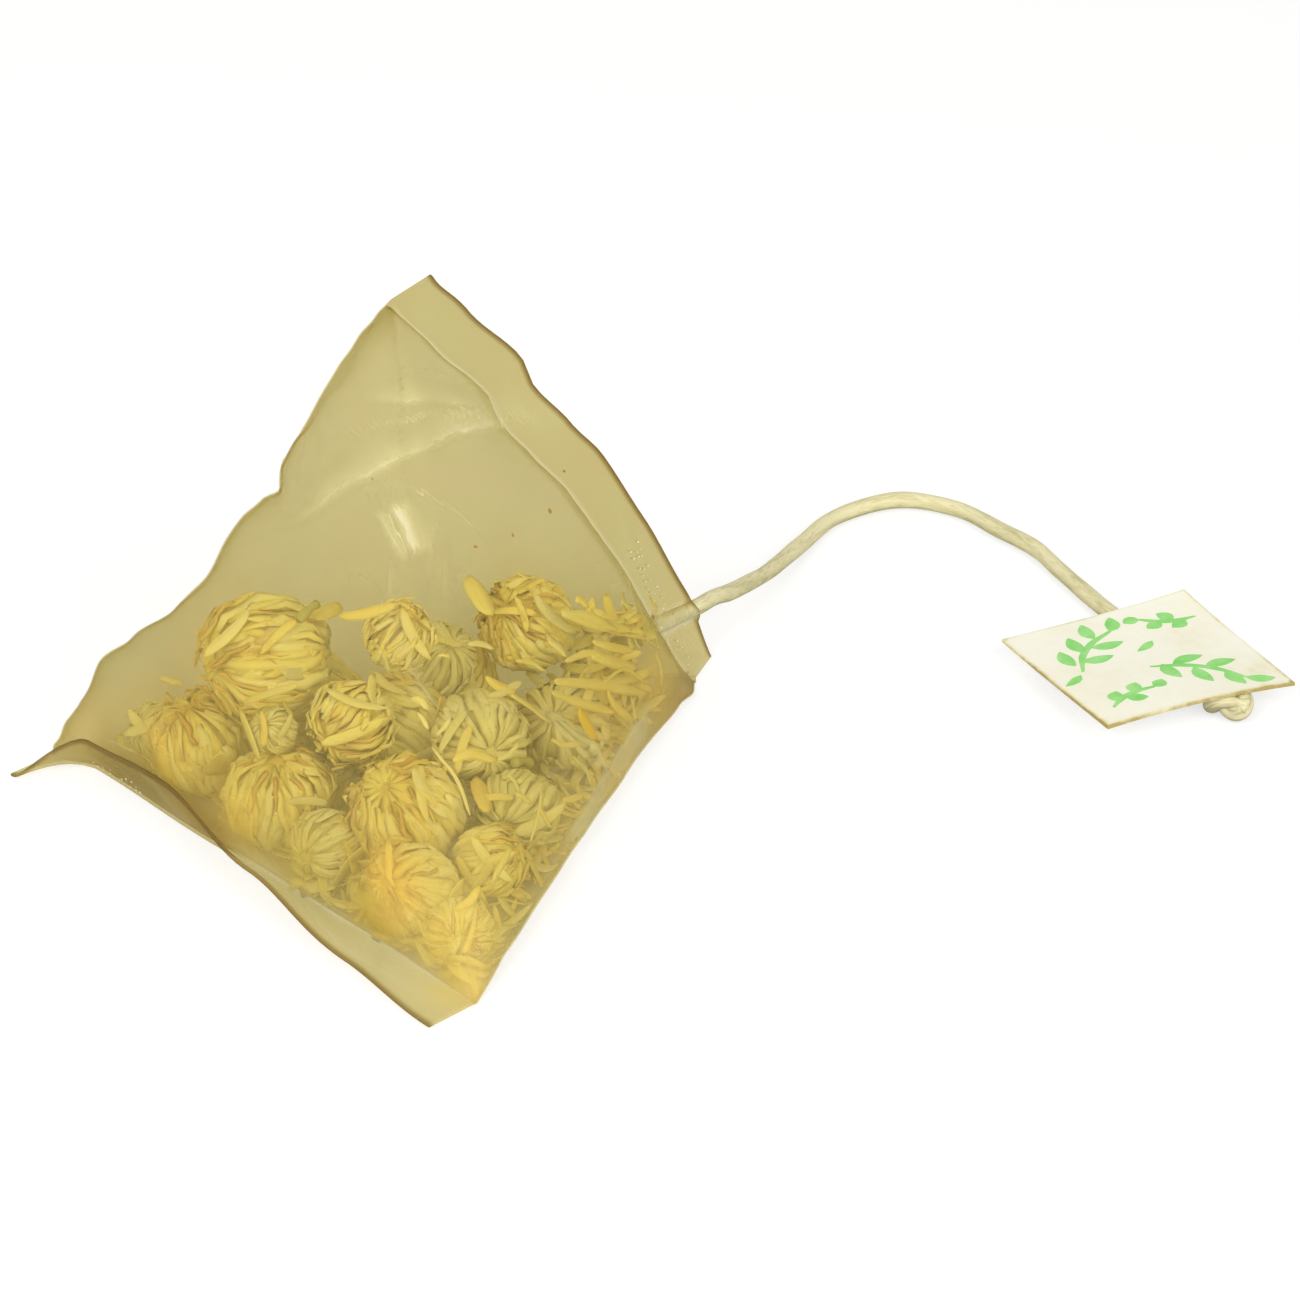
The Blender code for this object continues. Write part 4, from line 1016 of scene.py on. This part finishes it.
def weld_rows():
    """Places and facings for the small dots that the welding wheel presses into both fins."""
    picks = np.random.default_rng(17)
    places, facings = [], []
    for frame_at, begin in ((table_fin, 0.8), (string_fin, 0.72)):
        for row in range(3):
            for share in np.arange(begin, 0.985, 0.0145):
                if picks.random() < 0.3:
                    continue
                place, along, normal = frame_at(share + picks.normal() * 0.002 + 0.007 * (row % 2))
                width = 0.3 + 0.5 * row + 4 * max(0.0, 0.95 - share) + picks.normal() * 0.08
                middle = place + along * width * MM
                if frame_at is string_fin and abs(middle[2] - EXIT_HEIGHT) < 1.8 * MM:
                    continue
                for facing in (normal, -normal):
                    places.append(middle + facing * FIN_THICKNESS / 2)
                    facings.append(facing)
    return places, facings


def weld_look(tree):
    """Nylon melted under the welding wheel: pale, hard and a little glossy."""
    clear = node(tree, "BsdfTransparent", {"Color": srgb("F4F0DA")})
    return node(tree, "MixShader", {0: 0.6, 1: clear, 2: principled(tree, srgb("FFFDF0"), 0.28, 0.5)})


def make_weld_dots():
    places, facings = weld_rows()
    carrier = mesh_object("weld_dots", places, facing=facings)
    template = mesh_object("weld_dot", ())
    shape = bmesh.new()
    bmesh.ops.create_icosphere(shape, subdivisions=1, radius=1.0)
    bmesh.ops.scale(shape, vec=(1, 1, 0.35), verts=shape.verts)
    shape.to_mesh(template.data)
    shape.free()
    return scattered(carrier, template, material("pressed nylon weld", weld_look), 0.06 * MM, 0.15 * MM, 5)


# ---------------------------------------------------------------- geometry nodes
def node_group(name, **inputs):
    """An empty group with its named inputs, and their sockets."""
    tree = bpy.data.node_groups.new(name, "GeometryNodeTree")
    for key, kind in inputs.items():
        tree.interface.new_socket(key, in_out="INPUT", socket_type="NodeSocket" + kind)
    tree.interface.new_socket("Geometry", in_out="OUTPUT", socket_type="NodeSocketGeometry")
    return tree, node(tree, "NodeGroupInput").outputs


def random_value(tree, seed, low, high):
    return node(tree, "FunctionNodeRandomValue", {2: low, 3: high, "Seed": seed}, data_type="FLOAT").outputs[1]


def planted(tree, points, template, turn, size, seed, finish):
    """The template on each point, with a random tone and its material."""
    shape = node(tree, "GeometryNodeObjectInfo", {"Object": template, "As Instance": True}).outputs["Geometry"]
    inputs = {"Points": points, "Instance": shape, "Rotation": turn, "Scale": size}
    inputs = {"Geometry": node(tree, "GeometryNodeInstanceOnPoints", inputs), "Name": "tone"}
    inputs["Value"] = random_value(tree, seed, 0.0, 1.0)
    kept = node(tree, "GeometryNodeStoreNamedAttribute", inputs, data_type="FLOAT", domain="INSTANCE")
    real = node(tree, "GeometryNodeRealizeInstances", {0: kept})
    return node(tree, "GeometryNodeSetMaterial", {0: real, "Material": finish})


def grown(obj, tree, **values):
    """Runs a group on an object with its inputs set, and keeps the outcome as a plain mesh."""
    step = obj.modifiers.new("nodes", "NODES")
    step.node_group = tree
    for item in tree.interface.items_tree:
        if item.in_out == "INPUT" and item.name in values:
            step[item.identifier] = values[item.name]
    return baked(obj)


def scattered(carrier, template, finish, smallest, largest, seed):
    """One template on each point of the carrier, facing as its attribute says."""
    sockets = {"Geometry": "Geometry", "Smallest": "Float", "Largest": "Float", "Seed": "Int"}
    tree, given = node_group(carrier.name + "_spread", **sockets)
    facing = node(tree, "GeometryNodeInputNamedAttribute", {"Name": "facing"}, data_type="FLOAT_VECTOR")
    upright = node(tree, "FunctionNodeAlignRotationToVector", {"Vector": facing}, axis="Z")
    angle = random_value(tree, given["Seed"], -math.pi, math.pi)
    spun = node(tree, "FunctionNodeAxisAngleToRotation", {"Axis": (0, 0, 1), "Angle": angle})
    turned = node(tree, "FunctionNodeRotateRotation", {0: upright, 1: spun}, rotation_space="LOCAL")
    size = random_value(tree, given["Seed"], given["Smallest"], given["Largest"])
    made = planted(tree, given["Geometry"], template, turned, size, given["Seed"], finish)
    node(tree, "NodeGroupOutput", {0: made})
    grown(carrier, tree, Smallest=smallest, Largest=largest, Seed=seed)
    bpy.data.objects.remove(template)
    return carrier


def whorl_tree(name, groups, core, finish):
    """Whorls of petals around a head. Each group is (template, count, sizes, tilt, material)."""
    tree, given = node_group(name, Seed="Int", Crumple="Float")
    ball = node(tree, "GeometryNodeMeshIcoSphere", {"Radius": core, "Subdivisions": 3})
    # the core sinks at the crown, where the petals fold in
    sunk = node(tree, "GeometryNodeTransform", {0: ball, "Translation": (0, 0, -0.07), "Scale": (1, 1, 0.93)})
    parts = [node(tree, "GeometryNodeSetMaterial", {0: sunk, "Material": finish})]
    for index, (template, count, sizes, tilt, petals) in enumerate(groups):
        points = node(tree, "GeometryNodeMeshLine", {"Count": count, "Offset": (0, 0, 0)})
        seed = Value(given["Seed"]) + index * 17.0
        inputs = {"Min": (-tilt, -tilt, -0.16), "Max": (tilt, tilt, 0.16), "Seed": seed}
        wobble = node(tree, "FunctionNodeRandomValue", inputs, data_type="FLOAT_VECTOR")
        about = Value(node(tree, "GeometryNodeInputIndex").outputs[0]) * 2.399963
        turn = node(tree, "VectorMath", {0: wobble, 1: node(tree, "CombineXYZ", {"Z": about})}, operation="ADD")
        parts.append(planted(tree, points, template, turn, random_value(tree, seed, *sizes), seed, petals))
    joined = node(tree, "GeometryNodeJoinGeometry")
    for part in parts:
        tree.links.new(part.outputs[0], joined.inputs[0])
    grain = node(tree, "TexNoise", {"W": given["Seed"], "Scale": 2.6, "Detail": 2.0}, noise_dimensions="4D")
    centred = node(tree, "VectorMath", {0: grain.outputs["Color"], 1: (0.5, 0.5, 0.5)}, operation="SUBTRACT")
    sized = node(tree, "VectorMath", {0: centred, "Scale": given["Crumple"]}, operation="SCALE")
    node(tree, "NodeGroupOutput", {0: node(tree, "GeometryNodeSetPosition", {"Geometry": joined, "Offset": sized})})
    return tree


# ---------------------------------------------------------------- dried flowers
def petal_template(name, section_at):
    """A thin closed petal to be repeated; section_at gives three places across it at a share of its length."""
    steps = 7
    shares = [k / steps for k in range(steps + 1)]
    places = [place for share in shares for place in section_at(share)]
    faces = [(a, a + 3, a + 4, a + 1) for k in range(steps) for a in (3 * k, 3 * k + 1)]
    made = mesh_object(name, places, faces, tip=np.repeat(shares, 3), across=[-1, 0, 1] * (steps + 1))
    thicken(made, 0.03, -1)
    return baked(made)


def wrapped_petal(name, reach, width, curl, foot, wave=0.0):
    """A petal that wraps a ball of radius one, from the calyx below towards the crown."""

    def places(share):
        angle = math.radians(foot + (reach - foot) * share)
        far = 1.0 - curl * max(0.0, share - 0.6) ** 1.5 + wave * math.sin(share * 7)
        half = width * (0.5 + 1.1 * share - 0.95 * share**3) * (1 if share < 1 else 0.45)
        radii = {-1: far - 0.012 * share, 0: far + 0.024, 1: far - 0.012 * share}
        return [(r * math.sin(angle), i * half, -r * math.cos(angle)) for i, r in radii.items()]

    return petal_template(name, places)


def loose_petal(name):
    """A single dried petal of length two, lying flat and curling up a little at both ends."""

    def places(share):
        wide = 0.4 + 0.75 * math.sin(math.pi * min(1.0, share * 0.75 + 0.06))
        half = 0.15 * wide * (1 if 0 < share < 1 else 0.4)
        up = 0.35 * (share - 0.45) ** 2
        return [(2 * share - 1, i * half + 0.12 * math.sin(share * 3), up + 0.05 * abs(i)) for i in (-1, 0, 1)]

    return petal_template(name, places)


def petal_look(tree, stops, brown):
    """Dried ray petals: papery and matte, ribbed along their length, browned at tips and folds."""
    tip, across = attribute(tree, "tip"), attribute(tree, "across")
    cloud, spots = noise(tree, 380, 4), noise(tree, 240, 4)
    rib = (across * 11.0).step("SINE") * 0.5 + 0.5
    colour = ramp(tree, attribute(tree, "tone") * 0.45 + cloud * 0.4 + rib * 0.12, *stops)
    edge = across.step("ABSOLUTE").step("POWER", 4.0)
    darkened = spots + tip.step("POWER", 3.0) * 0.22 + edge * 0.12
    dry = blend(tree, ((darkened - 0.70) * 3.2).clamped(0.5), colour, srgb(brown))
    face = principled(tree, dry, 0.85, 0.2, (cloud + rib * 0.5, 0.3, 0.07 * MM))
    return node(tree, "MixShader", {0: 0.15, 1: face, 2: node(tree, "BsdfTranslucent", {"Color": dry})})


def petal_finishes():
    shades = {
        "yellow": ("dried yellow petals", ((0.15, "F9DE86"), (0.42, "FFF09A"), (0.75, "FFF8C0")), "DEB064"),
        "bright": ("dried inner petals", ((0.1, "F8DC80"), (0.5, "FFEE92"), (0.9, "FFF6B2")), "E2B45C"),
        "crumb": ("dried flower crumbs", ((0.1, "C08C44"), (0.9, "DDAC5C")), "A8783A"),
        "orange": ("dried orange petal", ((0.1, "FFD63C"), (0.5, "FFE24A"), (0.9, "FFE85C")), "F0BC44"),
        "grey": ("dried unopened petals", ((0.1, "E4D994"), (0.5, "F5ECAE"), (0.9, "FCF7CE")), "CFBE7A"),
        "green": ("dried green calyx", ((0.1, "B3AD68"), (0.5, "CFC880"), (0.9, "DED894")), "A69656"),
        "brown": ("dried petal tips", ((0.1, "D8AC60"), (0.5, "E9C97A"), (0.9, "F4DC94")), "C09250"),
        "core": ("dried flower core", ((0.1, "F0D87C"), (0.5, "FCEA94"), (0.9, "FFF3AC")), "DAB064"),
    }
    return {key: material(name, petal_look, stops, brown) for key, (name, stops, brown) in shades.items()}


def flower_kinds(finish):
    """A node group for each kind of head, and the petals they use."""
    shapes = {
        "outer": (108, 0.105, 0.06, 14, 0.012),
        "long": (142, 0.10, 0.26, 14, 0.015),
        "inner": (168, 0.085, 0.70, 30),
        "short": (80, 0.11, -0.10, 10),
        "ragged": (118, 0.075, -0.16, 36, 0.04),
        "tips": (158, 0.02, -0.12, 112, 0.03),
        "sepal": (40, 0.10, 0.0, 4),
    }
    # radius and finish of the core, then petal, count, sizes, tilt and finish of each whorl
    whorls = {
        "full": (0.935, "core", ("inner", 30, (0.93, 0.98), 0.10, "bright"), ("long", 46, (0.93, 1.0), 0.20, "yellow"),
                 ("outer", 36, (0.95, 1.02), 0.18, "yellow"), ("ragged", 14, (0.95, 1.02), 0.38, "bright"),
                 ("tips", 8, (0.96, 1.01), 0.25, "brown"), ("sepal", 10, (0.98, 1.02), 0.06, "green")),
        "open": (0.82, "core", ("inner", 26, (0.80, 0.90), 0.14, "bright"), ("long", 34, (0.88, 1.0), 0.18, "yellow"),
                 ("short", 30, (0.95, 1.04), 0.16, "yellow"), ("ragged", 18, (0.93, 1.04), 0.5, "bright"),
                 ("sepal", 12, (0.98, 1.03), 0.05, "green")),
        "bud": (0.935, "grey", ("inner", 34, (0.93, 0.98), 0.07, "grey"), ("outer", 42, (0.95, 1.01), 0.16, "grey"),
                ("sepal", 10, (0.98, 1.03), 0.06, "green")),
    }
    petals = {key: wrapped_petal("petal_" + key, *shape) for key, shape in shapes.items()}
    kinds = {}
    for kind, (core, inside, *groups) in whorls.items():
        groups = [(petals[key], count, sizes, tilt, finish[look]) for key, count, sizes, tilt, look in groups]
        kinds[kind] = whorl_tree(kind + "_head", groups, core, finish[inside])
    return kinds, petals.values()


def make_heads(finish):
    """One piece for each flower head, with its middle and half width."""
    kinds, templates = flower_kinds(finish)
    made, balls = [], []
    for index, (around, up, kind, shift, factor) in enumerate(HEADS):
        cad = f"flower_head_{index + 1:02d}"
        low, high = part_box(cad)
        middle = np.array((low + high) / 2) + vec(*shift) * MM
        radius = max(high - low) / 2 * factor
        head = mesh_object(f"dried_head_{index + 1:02d}", [(0, 0, 0)])
        grown(head, kinds[kind], Seed=index * 5 + 3, Crumple=0.42)
        a, b = math.radians(around), math.radians(up)
        way = Vector((math.cos(a) * math.cos(b), math.sin(a) * math.cos(b), math.sin(b)))
        turned = way.to_track_quat("Z", "Y").to_matrix().to_4x4()
        scale = Matrix.Diagonal((radius, radius * 0.96, radius, 1))
        head.data.transform(Matrix.Translation(Vector(middle)) @ turned @ scale)
        made.append((head, cad))
        balls.append((middle, radius))
    for template in templates:
        bpy.data.objects.remove(template)
    return made, balls


def strip(store, line, normals, width, cup, tone, thickness=0.1 * MM):
    """Adds one thin closed petal along a line."""
    base, last = len(store["places"]), len(line) - 1
    for k, (place, way, normal) in enumerate(zip(line, unit(np.gradient(line, axis=0)), normals)):
        share = k / last
        side = np.cross(normal, way)
        half = width / 2 * (0.45 + 0.6 * math.sin(math.pi * min(1.0, share * 0.75 + 0.08)))
        half *= math.sqrt(max(0.06, 1 - max(0.0, (share - 0.82) / 0.18) ** 2)) * (0.5 if k == 0 else 1)
        for depth in (0, thickness):
            for i in (-1, 0, 1):
                store["places"].append(place + side * half * i - normal * (cup * half * abs(i) + depth))
        store["tip"] += [share] * 6
        store["across"] += [-1, 0, 1] * 2
        store["tone"] += [tone] * 6
    for a in range(base, base + 6 * last, 6):
        b = a + 6
        for i in (0, 1):
            upper = (a + i, a + i + 1, b + i + 1, b + i)
            store["faces"] += [upper, (a + 3 + i, b + 3 + i, b + 4 + i, a + 4 + i)]
        store["faces"] += [(a, b, b + 3, a + 3), (a + 2, a + 5, b + 5, b + 2)]
    for a, turn in ((base, 1), (base + 6 * last, -1)):
        store["faces"] += [(i, i + 3, i + 4, i + 1)[::turn] for i in (a, a + 1)]


def strips_object(name, store, finish):
    return mesh_object(name, store.pop("places"), store.pop("faces"), finish, **store)


def make_film_petals(wall, finish):
    """Petals that lie against the film's inner face, one piece for each finish."""
    stores = {}
    picks = np.random.default_rng(11)
    for points, width, kind in FILM_PETALS:
        found = [on_film(vec(*p) * MM, wall, 0.75 * MM)[0] for p in points]
        line = smooth_line(found, 0.6 * MM)
        if len(line) < 5:
            line = smooth_line(found, float(np.linalg.norm(found[0] - found[-1])) / 5)
        normals = [on_film(p, wall)[1] for p in line]
        store = stores.setdefault(kind, defaultdict(list))
        strip(store, line, normals, width * 0.66 * MM, 0.4, picks.uniform(0.2, 0.9))
    return [strips_object(f"film_petals_{kind}", store, finish[kind]) for kind, store in stores.items()]


def solid_axes(name):
    """A CAD node's middle, its long, wide and thin ways, and half its spans along them."""
    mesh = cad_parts[name].data
    places = np.zeros(len(mesh.vertices) * 3, np.float32)
    mesh.vertices.foreach_get("co", places)
    places = places.reshape(-1, 3).astype(float)
    middle = (places.max(0) + places.min(0)) / 2
    ways = np.linalg.svd(places - places.mean(0), full_matrices=False)[2]
    return middle, ways, np.ptp((places - middle) @ ways.T, axis=0) / 2


def make_loose(finish):
    """The single petals and stem bits that lie between the heads, each in its solid's place."""
    made, sides = [], 10
    for index in range(1, 11):
        stem = index > 8
        cad = f"loose_stem_{index:02d}" if stem else f"loose_petal_{index:02d}"
        name = ("stem_bit_" if stem else "single_petal_") + f"{index:02d}"
        middle, (long, _, thin), halves = solid_axes(cad)
        thin = thin * (-1 if thin[2] < 0 else 1)
        shares = np.linspace(-1, 1, 9)[:, None]
        line = middle + long * halves[0] * shares + thin * halves[2] * (1 - shares**2) * 0.5
        if stem:
            bumps = lambda turn, s: 0.42 * MM * (1 + 0.12 * np.sin(5 * turn) + 0.15 * math.sin(s * 2200))
            piece = tube(name, line, bumps, sides)
            around = np.sin(2 * math.pi * np.arange(sides) / sides)
            for key, values in (("tone", [0.4] * sides), ("tip", [0.2] * sides), ("across", around)):
                point_attribute(piece, key, np.tile(values, len(line)))
            piece.data.materials.append(finish["green"])
        else:
            store = defaultdict(list)
            strip(store, line, [thin] * len(line), halves[1] * 2, 0.4, 0.15 * (index % 6))
            piece = strips_object(name, store, finish["yellow"])
        made.append((piece, cad))
    return made


def make_litter(balls, finish):
    """Petals that have come off: a bed under the heads and a few lying on each of them."""
    picks = np.random.default_rng(29)
    bits = []
    for middle, radius in balls:
        for _ in range(14):
            turn, far = picks.uniform(0, 2 * math.pi), (radius + 2.2 * MM) * math.sqrt(picks.uniform(0.05, 1))
            x, y = middle[0] + far * math.cos(turn), middle[1] + far * math.sin(turn)
            place = vec(x, y, picks.uniform(0.35, 2.2) * MM)
            bits.append((place, picks.normal(size=3) * 0.28 + (0, 0, 1)))
        for _ in range(4):
            way = unit(picks.normal(size=3) + (-0.7, -0.8, 0.5))
            bits.append((middle + way * (radius * 1.01 + 0.12 * MM), way + picks.normal(size=3) * 0.12))
    # heaped along the lower right edge, where the bag's bottom meets its right side
    across = unit(vec(-SEAM_LENGTH / 2, TUBE_LENGTH, 0))
    for _ in range(120):
        share = picks.uniform(0.0, 0.86) ** 0.8
        inward = abs(picks.normal()) * 2.6 * MM + 0.8 * MM
        up = picks.uniform(0.3 * MM, 0.5 * MM + inward * 0.55)
        place = lerp(RIGHT_CORNER, STRING_CORNER, share) + across * inward + (0, 0, up)
        bits.append((place, picks.normal(size=3) * 0.4 + (0.2, -0.5, 1)))
    # a mound in the thread's corner
    for _ in range(64):
        x, y, z = unit(picks.normal(size=3))
        way = vec(x, -abs(y), abs(z))
        place = vec(23.5, -1.0, 4.0) * MM + way * (6.5, 4.0, 7.0) * MM
        bits.append((place, way + picks.normal(size=3) * 0.35))
    # in the right corner and along the front edge: count, ranges from the corner in mm, lean
    corner = 34, ((1.5, 9), (1.5, 9), (0.4, 2.4)), 0
    front = 70, ((1.5, 6), (2, 24), (0.3, 1.6)), -0.2
    for count, ranges, lean in (corner, front):
        for _ in range(count):
            place = RIGHT_CORNER + vec(*[picks.uniform(*span) for span in ranges]) * MM
            bits.append((place, picks.normal(size=3) * 0.3 + (lean, 0, 1)))
    kept = []
    for place, facing in bits:
        behind_front = place[0] - RIGHT_CORNER[0]
        inside = (STRING_CORNER[0] - place[0]) / TUBE_LENGTH * SEAM_LENGTH / 2 - abs(place[1])
        if behind_front > (1.4 if place[1] < -5 * MM else 3.4) * MM and inside > 0.9 * MM:
            kept.append((place, facing))
    made = []
    for part, (kind, tenths) in enumerate((("yellow", range(5)), ("bright", range(5, 8)), ("grey", range(8, 10)))):
        places, facings = zip(*[bit for i, bit in enumerate(kept) if (i * 7 + i // 5) % 10 in tenths])
        carrier = mesh_object(f"petal_litter_{kind}", places, facing=unit(np.array(facings)))
        template = loose_petal(f"petal_template_{part}")
        made.append(scattered(carrier, template, finish[kind], 1.4 * MM, 3.1 * MM, 7 + part))
    return made


def make_browned_edges(balls, finish):
    """Thin browned edges of crumpled petals, wandering over the nearest side of some heads."""
    picks = np.random.default_rng(53)
    store = defaultdict(list)
    # head, count and the way from its middle
    edges = (
        (7, 20, (-0.55, -0.5, 0.65)), (1, 3, (-0.7, -0.3, 0.6)),
        (5, 4, (-0.5, -0.6, 0.6)), (8, 9, (-0.5, -0.5, 0.7)),
    )
    for number, count, toward in edges:
        middle, radius = balls[number - 1]
        for _ in range(count):
            way = toward + picks.normal(size=3) * 0.42
            step = picks.normal(size=3)
            normals = []
            for _ in range(picks.integers(5, 9)):
                way = unit(way)
                step = step + picks.normal(size=3) * 0.7
                step = unit(step - way * (step @ way))
                normals.append(way)
                way = way + step * 0.32 * MM / radius
            line = middle + np.array(normals) * (radius * 1.03 + 0.1 * MM)
            width, tone = picks.uniform(0.06, 0.13) * MM, picks.uniform(0.2, 0.9)
            strip(store, line, normals, width, 0.2, tone, 0.04 * MM)
    return strips_object("browned_petal_edges", store, finish)


def keep_in_bag(obj, wall, gap, soft=0.3 * MM):
    """Presses a piece back inside the film; what lies deeper stays deeper, so petals stay outside the core."""
    for v in obj.data.vertices:
        v.co.x = max(v.co.x, RIGHT_CORNER[0] + 1.0 * MM)
        hit, normal, _, _ = wall.find_nearest(v.co)
        deep = (hit - v.co).dot(normal) - gap
        if deep < 4 * soft:
            v.co = v.co - normal * (soft * math.log1p(math.exp(deep / soft)) - deep)


# ---------------------------------------------------------------- putting it together
camera()
studio()
thread, thread_path = make_thread()
knot, card, ink = make_knot(), make_tag(), make_print()
finishes = petal_finishes()
heads, balls = make_heads(finishes)
film, film_wall = make_film(balls)
dots = make_weld_dots()
loose = make_loose(finishes)
litter = make_litter(balls, finishes) + make_film_petals(film_wall, finishes)
litter.append(make_browned_edges(balls, finishes["brown"]))
for piece in [p for p, _ in heads + loose] + litter:
    keep_in_bag(piece, film_wall, 0.22 * MM)

for piece, nodes, slot in [
    (thread, ["thread"], "cotton_thread"),
    (knot, ["thread_knot"], "knotted_thread"),
    (card, ["tag"], "tag_paper"),
    (ink, [], "tag_paper"),
    (film, ["bag_film"], "sealed_film"),
    (dots, [], "sealed_film"),
] + [(p, [cad], "dried_flower") for p, cad in heads] + [
    (p, [cad], "dried_stem" if "stem" in cad else "dried_petal") for p, cad in loose
] + [(p, [], "dried_petal") for p in litter]:
    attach(piece, "root")
    if nodes:
        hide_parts(*nodes)

tuple(exit_places()[1])
